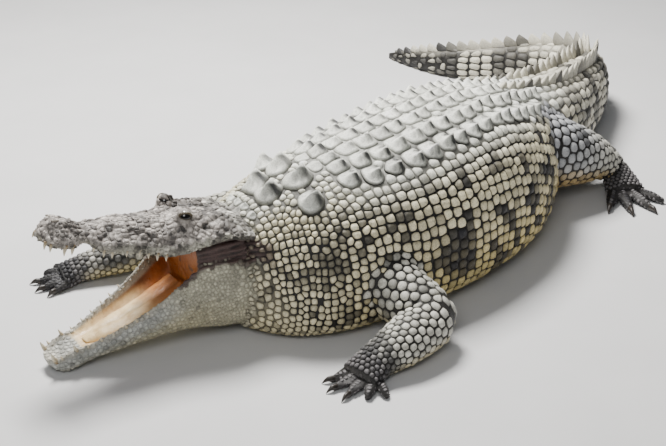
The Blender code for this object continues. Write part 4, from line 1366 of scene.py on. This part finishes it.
def paint_scales(chosen, profile, cell, places, ring_share):
    """Colours of the vertices: dark edges from darker skin and painted shade in the grooves, specks, painted
    shade along the skull lines, and on the keels streaks of painted shade down their slopes and flutes and a
    painted shadow by each tip.
    """
    table = KEEP["roots"]
    radii, _, _, cos, sin = cell
    sides = radii.shape[1]
    per = sides * len(profile) + 1
    # Rims darken to the groove colour: darker skin and painted shade at the edge of each scale.
    edge = np.where(ring_share < 0, 1.0, ease(.80, .98, ring_share)) * np.repeat(table["edge"][chosen], per)
    colours = lerp(np.repeat(table["colour"][chosen], per, axis=0), choices("hide").groove, edge)
    speck = noise(places, .0065, 63) + .5 * noise(places, .0032, 64)
    kind = np.repeat(table["kind"][chosen], per)
    on_head, on_back, on_jaw = kind >= KINDS["head"], kind == KINDS["scute"], kind == KINDS["jaw"]
    specked = .28 + .17 * on_head - .2 * on_jaw - .18 * on_back
    # Painted shade along the crevices of the skull lines, which are also carved into the skin; weaker on the
    # jaw.
    lines = skull_lines(places) * on_head * (1 - .6 * on_jaw)
    colours = colours * (1 - specked * ease(.25, .9, speck))[:, None] * (1 - .80 * lines)[:, None]
    long, wide = table["pitch"][chosen][:, :1] * .5, table["pitch"][chosen][:, 1:] * .5
    shares = np.append(np.repeat([share for share, *_ in profile], sides), CROWN[0])
    x = np.tile(radii * cos, len(profile) + 1)[:, :per] * shares / long
    beside = np.abs(np.tile(radii * sin, len(profile) + 1)[:, :per] * shares)
    side = beside / wide
    raised = np.clip(table["keel"][chosen] / .013, 0, 1)[:, None] ** 3
    # Painted shade on the keels: the slopes beside each crest line are streaked darker, and so are the grooves
    # between the flutes.
    turn = np.arctan2(beside, x * long - .5 * long)
    flutes = ease(.2, 1.0, np.cos(turn * KEEL_FLUTES + 3)) * ease(.95, .7, np.hypot(x, side))
    flutes = flutes * ease(.15, .4, side)
    streak = ease(.04, .26, side) * (.12 + .16 * noise(places, .009, 65).reshape(side.shape)) + .26 * flutes
    # Painted shadow: a near-black spot beside the peak of each keel, towards its rear.
    tip = bell(x, .55, .34) * ease(.95, .50, side) * ease(.0, .08, side)
    tip = tip * (.62 + .38 * ease(-.4, .4, noise(table["place"][chosen], .035, 66)))[:, None]
    colours = colours * (1 - (streak * raised).ravel())[:, None]
    return lerp(colours, KEEL_SHADOW, np.clip(1.3 * tip * raised, 0, .95).ravel())


def scale_faces(count, sides, rings):
    """Faces of like scales: quads between rings, a fan at the top and a closed foot."""
    i = np.arange(sides)
    j = (i + 1) % sides
    per = sides * rings + 1
    quads = np.concatenate([np.stack((low + i, low + j, low + sides + j, low + sides + i), 1)
                            for low in range(0, (rings - 1) * sides, sides)])
    top = np.stack(((rings - 1) * sides + i, (rings - 1) * sides + j, np.full(sides, per - 1)), 1)
    faces = []
    for n in range(count):
        start = n * per
        faces += (quads + start).tolist()
        faces += (top + start).tolist()
        faces.append((i[::-1] + start).tolist())
    return faces


def bake_map(item, charts, sides, ring_share):
    """A small patch for each scale, at its root's place on the unwrap of the skin."""
    ring_share = ring_share.reshape(len(charts), -1)
    angle = (np.arange(ring_share.shape[1]) % sides) / sides * math.tau
    share = np.clip(np.abs(ring_share), 0, 1) * .0015
    local = np.stack((share * np.cos(angle), share * np.sin(angle)), 2)
    spots = (charts[:, None, :] + local).reshape(-1, 2)
    layer = item.data.uv_layers.new(name="OFBake")
    corners = np.empty(len(item.data.loops), np.int32)
    item.data.loops.foreach_get("vertex_index", corners)
    layer.data.foreach_set("uv", spots[corners].ravel())


def crest_piece():
    """Tall leaning plates along the top of the tail, in two rows that close to one."""
    c, dice = choices("hide"), np.random.default_rng(5)
    sides, rings = 16, 7
    angle, sunk = turns(sides), .008
    places, colours, shares, charts = [], [], [], []
    along = CREST[0][0]
    while along < CREST[-1][0]:
        pitch, height, spread = value_at(CREST_PITCH, along), value_at(CREST, along), value_at(CREST, along, 2)
        height *= 1 - .40 * float(ease(1.80, 2.10, along))
        half, top, widest = (value_at(BODY_SECTION, along, k) for k in (1, 2, 3))
        place, back, right = spine_frame(along)
        for side in ((-1, 1) if spread > .012 else (0,)):
            rise = max(1 - abs(side * spread / half) ** ROUND_BACK, 0) ** (1 / ROUND_BACK)
            base = place + side * spread * right + np.array((0, 0, widest + (top - widest) * rise - sunk))
            lean = .46 * pitch * back + np.array((0, 0, height + sunk)) + side * .2 * height * right
            dark = float(ease(.0, .8, np.sin(along * math.tau / TAIL_BAND + .5) + .4 * dice.normal()))
            tone = lerp(np.array(c.tail) * 1.1, c.blotch, [dark * .8 + .15 * (along > 2.2)])[0]
            for ring in range(rings):
                t = ring / (rings - 1)
                wide = 1.22 * (1 - t ** 2.3) if ring < rings - 1 else .03
                thick = .0105 * (1 - t) ** .55 if ring < rings - 1 else .0004
                x = pitch * .54 * wide * np.sign(np.cos(angle)) * np.abs(np.cos(angle)) ** .8
                spots = base + lean * (t ** 1.5, t ** 1.5, t)
                spots = spots + np.outer(x, back) + np.outer(thick * np.sin(angle), right)
                places.append(spots + noise(spots, .012, 3)[:, None] * right * .0012)
                shares += [min(1, .15 + (1 - t))] * sides
                # Painted shade: each plate darker towards its base and lighter towards its top.
                colours += [tone * (.55 + .5 * t) * (1 + .05 * dice.normal())] * sides
            places.append((base + lean * 1.005)[None, :])
            shares.append(0.0)
            colours.append(tone * 1.05)
            charts.append(body_chart(along, side * .06)[0])
        along += pitch
    made = mesh_object("tail_crest", np.concatenate(places), scale_faces(len(charts), sides, rings))
    set_colour(made, np.array(colours))
    bake_map(made, np.array(charts), sides, np.array(shares))
    dress(made, hide_material(), "hide")


def paint_skin(skin):
    """Give the skin the markings of its coat, dark in the grooves from darker skin and painted shade, the cheek
    pocket dark from its own skin and painted shade, deepest in the troughs of its folds, and the colours of the
    mouth.
    """
    c, mouth, table = choices("hide"), choices("mouth"), KEEP["roots"]
    places, normals = points_of(skin) - SHIFT, normals_of(skin)
    nearest = np.array([KEEP["root_tree"].find(place)[1] for place in places])
    u, _, up = jaw_frame(places, UPPER_PITCH)
    v, _, height = jaw_frame(places, LOWER_PITCH)
    on_head = ease(1.10, 1.0, np.minimum(u, v))
    # The skin in the gaps takes the groove colour: darker skin and painted shade in the grooves.
    dark = np.clip(table["edge"][nearest] + .08, 0, 1) * (1 - .25 * on_head)
    colours = lerp(table["colour"][nearest], c.groove, dark)
    # Painted shade in the troughs of the carved cheek folds, over the pocket's dark colour.
    folds = ease(.1, -.7, cheek_folds(places, u, up))
    bare = np.array(c.pocket) * (1 - .75 * folds * ease(-.6, .4, noise(places, .02, 15)))[:, None]
    colours = lerp(colours, bare, pocket_mask(places, normals))
    mask = mouth_mask(places, normals)
    above = height + curve_value(JAW_FLOOR, v)
    lining = lerp(mouth.lining, mouth.tongue, ease(.070, .030, above) * ease(.66, .50, v))
    gum = ease(.020, .050, above) * ease(.72, .60, v)
    lining = lerp(lining, GUM_BROWN, gum * (.62 + .38 * noise(places, .016, 72)))
    stain = ease(.2, .8, noise(places, .018, 71) + .5 * noise(places, .007, 73)) * ease(.05, .13, above)
    clean = 1 - .8 * stain * ease(.54, .64, v) - .15 * ease(.3, .9, noise(places, .02, 74))
    set_colour(skin, lerp(colours, lining * clean[:, None], mask))
    for material in (hide_material(), mouth_material("mouth_lining")):
        skin.data.materials.append(material)
    wet = mask > .5
    inner = [int(wet[list(face.vertices)].all()) for face in skin.data.polygons]
    skin.data.polygons.foreach_set("material_index", inner)


# ---------------------------------------------------------------- eyes, teeth, claws, tongue

def lid_opening(side, angle):
    """Centre of an eye and the ways from it to the almond opening of its lids, from the front corner."""
    centre, outward, forward, rise = eye_frame(side)
    wide, tall, low = LID_OPENING
    x = wide * np.cos(angle)
    y = low + tall * np.sin(angle) * (1 - .25 * np.cos(angle) ** 2)
    z = np.sqrt(np.maximum(1 - x * x - y * y, .02))
    return centre, forward * x[:, None] + rise * y[:, None] + outward * z[:, None]


def lid_rims():
    """Fleshy rims of the upper and lower lids, heavier above."""
    made, count, sides = [], 72, 14
    angle = turns(count)
    upper = ease(-.2, .6, np.sin(angle))
    thick = .0011 + .0015 * upper
    faces = [(r * sides + i, r * sides + (i + 1) % sides, (r + 1) % count * sides + (i + 1) % sides,
              (r + 1) % count * sides + i) for r in range(count) for i in range(sides)]
    for side in (-1, 1):
        centre, way = lid_opening(side, angle)
        out = np.cross(unit(np.roll(way, -1, axis=0) - np.roll(way, 1, axis=0)), way)
        rings = [centre + way * (EYE_RADIUS * (1.02 + .05 * upper))[:, None]
                 + (way * (np.cos(turn) * thick * .8)[:, None] + out * (np.sin(turn) * thick)[:, None])
                 for turn in turns(sides)]
        made.append(mesh_object(f"lid_{side}", np.stack(rings, 1).reshape(-1, 3), faces))
    rims = join(made, "eyelid_rims")
    recalculate_normals(rims)
    places = points_of(rims)
    set_points(rims, places + normals_of(rims) * (noise(places, .004, 4) * .0004)[:, None])
    lid, recipe = choices("mouth").lid, Recipe("eyelid_rim", 0.5)
    colour = recipe.ramp(recipe.cloud(420, 4), (.34, shade(lid, .22)), (.58, shade(lid, .8)),
                         (.80, shade(lid, 1.1)))
    roughness = recipe.map_range(recipe.cloud(200), .3, .7, .35, .55)
    dress(rims, recipe.finish(colour, roughness, ((recipe.cloud(900, 4), .0006),)), "hide")


def eyeballs():
    """Glossy dark eyes with an upright slit pupil, each in its own piece; the dark of the ball and iris is
    painted shade from the lids.
    """
    for side, name in ((-1, "eye_left"), (1, "eye_right")):
        centre, outward, forward, rise = eye_frame(side)
        deselect()
        bpy.ops.mesh.primitive_uv_sphere_add(segments=64, ring_count=40, radius=EYE_RADIUS, location=(0, 0, 0))
        ball = bpy.context.object
        local = points_of(ball)
        x, y, z = (local / EYE_RADIUS).T
        cornea = 1 + .045 * ease(.55, .9, z)
        turn = np.stack((forward, rise, outward))
        set_points(ball, (local * cornea[:, None]) @ turn + centre + SHIFT)
        pupil = ease(.13, .08, np.abs(x)) * ease(.46, .36, np.abs(y)) * (z > 0)
        iris = ease(.66, .60, np.hypot(x, y)) * (z > 0)
        streak = .75 + .35 * noise(np.stack((np.arctan2(y, x) * .02, z * 0, z * 0), 1), .0022, 8)
        # Ball and iris near black: painted shade from the lids.
        colours = lerp(SHADED_EYE_BROWN, choices("mouth").iris, iris) * streak[:, None]
        set_colour(ball, lerp(colours, PUPIL_BLACK, pupil), "iris_colour")
        ball.name = ball.data.name = f"{name}_ball"
        face_outwards(ball)
        recipe = Recipe(f"{name}_gloss", 0.06)
        grain = recipe.ramp(recipe.cloud(700, 3), (.3, .6), (.7, 1.0))
        recipe.shader.inputs["Coat Weight"].default_value = 0.3
        recipe.shader.inputs["Coat Roughness"].default_value = 0.03
        colour = recipe.blend("MULTIPLY", .5, recipe.stored("iris_colour"), grain)
        dress(ball, recipe.finish(colour), "eye", name)


def nostril_pair(name, stretch, primitive, **sizes):
    """A primitive stretched along the snout at each nostril, both joined."""
    axis, right, upright = jaw_axes(UPPER_PITCH)
    u, across, up = NOSTRIL_PLACE
    made = []
    for side in (-1, 1):
        place = jaw_place(u, side * across, value_at(HEAD_TOP, u) + up, UPPER_PITCH)[0]
        deselect()
        primitive(location=(0, 0, 0), **sizes)
        part = bpy.context.object
        turn = np.stack((unit(axis + right * side * .35), unit(right - axis * side * .35), upright))
        set_points(part, (points_of(part) * stretch) @ turn + place + SHIFT)
        made.append(part)
    return join(made, name)


def nostrils():
    """Raised rims of the two nostrils, with near-black discs in them as painted shade in the openings."""
    rims = nostril_pair("nostril_rims", (1.45, .72, 1), bpy.ops.mesh.primitive_torus_add, major_segments=28,
                        minor_segments=12, major_radius=.0052, minor_radius=.0021)
    recipe = Recipe("nostril_rim", 0.5)
    colour = recipe.ramp(recipe.cloud(420, 4), (.3, NOSTRIL_DARK), (.65, NOSTRIL_LIGHT))
    dress(rims, recipe.finish(colour, None, ((recipe.cloud(800, 4), .0008),)), "hide")
    # Near-black flattened discs as painted shade in the nostril openings.
    shadow_discs = nostril_pair("nostril_shadow_discs", (1.4, .62, .35), bpy.ops.mesh.primitive_uv_sphere_add, segments=20,
                         ring_count=10, radius=.0050)
    recipe = Recipe("nostril_shadow", 0.6)
    colour = recipe.ramp(recipe.cloud(500), (.3, (.004, .003, .003)), (.8, (.020, .016, .013)))
    dress(shadow_discs, recipe.finish(colour), "hide")


def tooth_mesh():
    """One unit tooth along +Z from a primitive cone, slimmed and curved."""
    deselect()
    bpy.ops.mesh.primitive_cone_add(vertices=16, radius1=1, radius2=0, depth=1, location=(0, 0, .5))
    tooth = bpy.context.object
    bpy.ops.object.transform_apply(location=True, rotation=True, scale=True)
    bpy.ops.object.mode_set(mode="EDIT")
    for height in (.18, .34, .50, .65, .78, .88, .95):
        bpy.ops.mesh.select_all(action="SELECT")
        bpy.ops.mesh.bisect(plane_co=(0, 0, height), plane_no=(0, 0, 1))
    bpy.ops.object.mode_set(mode="OBJECT")
    places = points_of(tooth)
    z = places[:, 2]
    full = np.maximum(1 - z, 1e-6)
    swell = np.where(z < .999, (1 - z ** 1.7) ** .85 / full, 1.0)
    places[:, :2] *= swell[:, None]
    set_points(tooth, places)
    return tooth


def place_teeth(master, teeth, width_table, level_table, pitch, sign):
    """Copies of the tooth along one jaw, leaning outwards and curved back; the sign is -1 for the upper jaw."""
    axis, made = jaw_axes(pitch)[0], []
    local = points_of(master)
    z = local[:, 2:]
    colours = lerp(choices("mouth").tooth, TOOTH_ROOT, np.clip(1 - z[:, 0] * 1.6, 0, 1))
    for u, reach in teeth:
        half, level = value_at(width_table, u), value_at(level_table, u)
        wear = .85 if u < .2 else .72
        for side in (-1, 1):
            reach *= wear       # counts once for a tooth of the left side and twice for one of the right
            across = side * (half - 0.016)
            root = jaw_place(u, across, level - sign * 0.020, pitch)[0]
            crown = jaw_place(u - 0.006, across * 1.06 + side * 0.008, level + sign * reach, pitch)[0]
            stem = crown - root
            radius = HEAD_LENGTH * (0.0068 + 0.135 * reach)
            first = unit(np.cross(stem, axis))
            second = unit(np.cross(stem, first))
            bend = -axis * .18 * np.linalg.norm(stem) * (z * z - z)
            copy = master.copy()
            copy.data = master.data.copy()
            bpy.context.scene.collection.objects.link(copy)
            set_points(copy, root + SHIFT + local[:, :1] * first * radius + local[:, 1:2] * second * radius
                       + z * stem + bend)
            set_colour(copy, colours)
            made.append(copy)
    return made


def teeth():
    """The teeth of both jaws, joined."""
    master = tooth_mesh()
    made = place_teeth(master, UPPER_TEETH, HEAD_HALF_WIDTH, HEAD_LIP, UPPER_PITCH, -1)
    made += place_teeth(master, LOWER_TEETH, JAW_HALF_WIDTH, JAW_CREST, LOWER_PITCH, 1)
    bpy.data.objects.remove(master)
    joined = join(made, "teeth")
    recalculate_normals(joined)
    recipe = Recipe("tooth_enamel", 0.25)
    stain = recipe.ramp(recipe.cloud(380, 5), (.30, (.55, .42, .26)), (.60, (1.0, 1.0, 1.0)))
    colour = recipe.blend("MULTIPLY", .7, recipe.stored(), stain)
    roughness = recipe.map_range(recipe.cloud(300), .3, .7, .2, .4)
    dress(joined, recipe.finish(colour, roughness, ((recipe.cloud(700, 4), .0004),)), "mouth")


def claws():
    """Short curved horn claws on the inner three digits of each limb."""
    made, nodes = [], []
    for limb in LIMBS:
        kind, side = limb.split("_")
        extremity = f"{'hand' if kind == 'arm' else 'foot'}_{side}"
        for number, (path, aim, radius, clawed) in enumerate(digit_paths(limb), 1):
            if not clawed:
                continue
            tip, size, reach = np.array(path[-1][:3]), radius * .56, CLAW_LENGTH[kind]
            rows = [(*(tip[:2] + aim[:2] * (reach * t)), max(tip[2] + size * lift, size * grow * .9),
                     size * grow * .85, size * grow) for t, lift, grow in CLAW_SHAPE]
            made.append(loft("claw", [limb_ring(rows, t, True, 16) for t in np.linspace(0, 4, 22)]))
            nodes.append(f"{extremity}_claw_{number}")
    horn = join(made, "claws")
    colour, recipe = choices("mouth").claw, Recipe("claw_horn", 0.35)
    grain = recipe.cloud(300, 5, .6, (1, 1, .25))
    tone = recipe.ramp(grain, (.30, shade(colour, .45)), (.62, shade(colour, 1.5)), (.85, shade(colour, 4)))
    roughness = recipe.map_range(grain, .3, .7, .28, .5)
    dress(horn, recipe.finish(tone, roughness, ((grain, .0006),)), "claw", *nodes)


def tongue():
    """The broad low tongue, with a shallow furrow."""
    made = loft("tongue_surface", [tongue_ring(u) for u in np.linspace(.20, .735, 60)])
    places, normals = points_of(made), normals_of(made)
    v, across, _ = jaw_frame(places - SHIFT, LOWER_PITCH)
    furrow = bell(across, 0, .012) * ease(.22, .35, v)
    move = -.0022 * furrow + noise(places, .025, 3) * .0022 + noise(places, .009, 6) * .0007
    set_points(made, places + normals * (move - .0008)[:, None])
    rim = ease(.68, .92, np.abs(across) / (curve_value(JAW_HALF_WIDTH, v) * .68)) * .7
    mouth = choices("mouth")
    colours = lerp(mouth.tongue, mouth.lining, np.maximum(ease(.46, .64, v), rim) * .9)
    # Darker in patches, with painted shade in the furrow.
    colours = colours * (1 - .30 * ease(.2, .9, noise(places, .03, 9)) - .25 * furrow)[:, None]
    set_colour(made, colours)
    dress(made, mouth_material("tongue_flesh", 0.38), "mouth", "tongue")


def point_at(item, way):
    """Turn a light or the camera to look along a direction."""
    item.rotation_euler = way.to_track_quat("-Z", "Y").to_euler()


# ---------------------------------------------------------------- operators

class CROC_OT_skin(bpy.types.Operator):
    """Fuse the flesh into one carved skin, and lay out the roots of its scales"""
    bl_idname = "crocodile.skin"
    bl_label = "Skin"

    def execute(self, context):
        skin = build_skin()
        build = bmesh.new()
        build.from_mesh(skin.data)
        build.transform(Matrix.Translation(-Vector(SHIFT)))
        KEEP["tree"] = BVHTree.FromBMesh(build)
        build.free()
        plan_roots()
        paint_skin(skin)
        flesh = [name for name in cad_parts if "claw" not in name and not name.startswith("eye")
                 and name != "tongue"]
        finish_piece(skin, "hide", *flesh)
        return {"FINISHED"}


class CROC_OT_back(bpy.types.Operator):
    """Keeled scutes of the nape and back"""
    bl_idname = "crocodile.back_scutes"
    bl_label = "Back scutes"

    def execute(self, context):
        grow_scales("back_scutes", "scute", "large", KEEL_SIDES, .0011)
        return {"FINISHED"}


class CROC_OT_body(bpy.types.Operator):
    """Scales of the neck, flanks, belly and tail"""
    bl_idname = "crocodile.body_scales"
    bl_label = "Body scales"

    def execute(self, context):
        grow_scales("body_scales", "body", "plain", 12, .0004, 5)
        return {"FINISHED"}


class CROC_OT_crest(bpy.types.Operator):
    """Leaning plates of the tail crest"""
    bl_idname = "crocodile.tail_crest"
    bl_label = "Tail crest"

    def execute(self, context):
        crest_piece()
        return {"FINISHED"}


class CROC_OT_limbs(bpy.types.Operator):
    """Plates of the limbs, hands, feet and digits"""
    bl_idname = "crocodile.limb_scales"
    bl_label = "Limb scales"

    def execute(self, context):
        grow_scales("limb_scales", "limb", "plain", 10, .0003, 3)
        return {"FINISHED"}


class CROC_OT_head(bpy.types.Operator):
    """Small plates of the head and jaw"""
    bl_idname = "crocodile.head_plates"
    bl_label = "Head plates"

    def execute(self, context):
        grow_scales("head_plates", "head", "plain", 10, .0013, 2)
        grow_scales("jaw_plates", "jaw", "small", 8, .0003, 2)
        return {"FINISHED"}


class CROC_OT_eyes(bpy.types.Operator):
    """Eyeballs, lids and nostrils"""
    bl_idname = "crocodile.eyes"
    bl_label = "Eyes and nostrils"

    def execute(self, context):
        eyeballs()
        lid_rims()
        nostrils()
        return {"FINISHED"}


class CROC_OT_teeth(bpy.types.Operator):
    """Teeth of both jaws"""
    bl_idname = "crocodile.teeth"
    bl_label = "Teeth"

    def execute(self, context):
        teeth()
        return {"FINISHED"}


class CROC_OT_claws(bpy.types.Operator):
    """Horn claws"""
    bl_idname = "crocodile.claws"
    bl_label = "Claws"

    def execute(self, context):
        claws()
        return {"FINISHED"}


class CROC_OT_tongue(bpy.types.Operator):
    """Tongue"""
    bl_idname = "crocodile.tongue"
    bl_label = "Tongue"

    def execute(self, context):
        tongue()
        return {"FINISHED"}


class CROC_OT_stage(bpy.types.Operator):
    """Pale floor, soft studio light and camera"""
    bl_idname = "crocodile.stage"
    bl_label = "Stage"

    def execute(self, context):
        deselect()
        bpy.ops.mesh.primitive_plane_add(size=FLOOR_SIZE, location=(0, 0, -FLOOR_DROP))
        floor = bpy.context.object
        floor.name = "floor"
        bpy.ops.object.transform_apply(location=True, rotation=True, scale=True)
        recipe = Recipe("pale_floor", 0.7)
        floor.data.materials.append(recipe.finish(recipe.ramp(recipe.cloud(3, 3), (.3, .62), (.7, .66))))
        world = bpy.data.worlds.new("studio")
        world.use_nodes = True
        background = world.node_tree.nodes["Background"]
        background.inputs[0].default_value, background.inputs[1].default_value = SKY_COLOUR, SKY_STRENGTH
        context.scene.world = world
        for place, aim, size, power, colour in LIGHTS:
            bpy.ops.object.light_add(type="AREA", location=place)
            light = context.object
            light.data.size, light.data.energy, light.data.color = size, power, colour
            point_at(light, Vector(aim) - Vector(place))
        bpy.ops.object.camera_add(location=Vector(CAMERA_PLACE) + Vector(SHIFT))
        camera = context.object
        turn, drop = math.radians(CAMERA_HEADING), math.radians(CAMERA_DROP)
        point_at(camera, Vector((math.cos(turn) * math.cos(drop), math.sin(turn) * math.cos(drop),
                                 -math.sin(drop))))
        camera.data.lens, camera.data.sensor_width = CAMERA_LENS, 36
        context.scene.camera = camera
        return {"FINISHED"}


class CROC_PT_panel(bpy.types.Panel):
    """Panel that lists the pieces of the crocodile"""
    bl_idname = "CROC_PT_panel"
    bl_label = "Nile crocodile"
    bl_space_type = "VIEW_3D"
    bl_region_type = "UI"
    bl_category = "Crocodile"

    def draw(self, context):
        for group in ("crocodile_scales", "crocodile_hide", "crocodile_mouth"):
            settings = getattr(context.scene, group)
            box = self.layout.box()
            for name in settings.__annotations__:
                box.prop(settings, name)
        for operator in OPERATORS:
            self.layout.operator(operator.bl_idname)


OPERATORS = (CROC_OT_skin, CROC_OT_back, CROC_OT_body, CROC_OT_crest, CROC_OT_limbs, CROC_OT_head, CROC_OT_eyes,
             CROC_OT_teeth, CROC_OT_claws, CROC_OT_tongue, CROC_OT_stage)
GROUPS = {"crocodile_scales": ScaleSizes, "crocodile_hide": HideColours, "crocodile_mouth": MouthColours}


def register():
    """Add the settings, the operators and the panel."""
    for cls in (*GROUPS.values(), *OPERATORS, CROC_PT_panel):
        bpy.utils.register_class(cls)
    for name, group in GROUPS.items():
        setattr(bpy.types.Scene, name, bpy.props.PointerProperty(type=group))


def unregister():
    """Take them off again."""
    for name in GROUPS:
        delattr(bpy.types.Scene, name)
    for cls in reversed((*GROUPS.values(), *OPERATORS, CROC_PT_panel)):
        bpy.utils.unregister_class(cls)


def main():
    """Build every piece."""
    register()
    for operator in OPERATORS:
        group, name = operator.bl_idname.split(".")
        getattr(getattr(bpy.ops, group), name)()


if __name__ == "__main__":
    main()
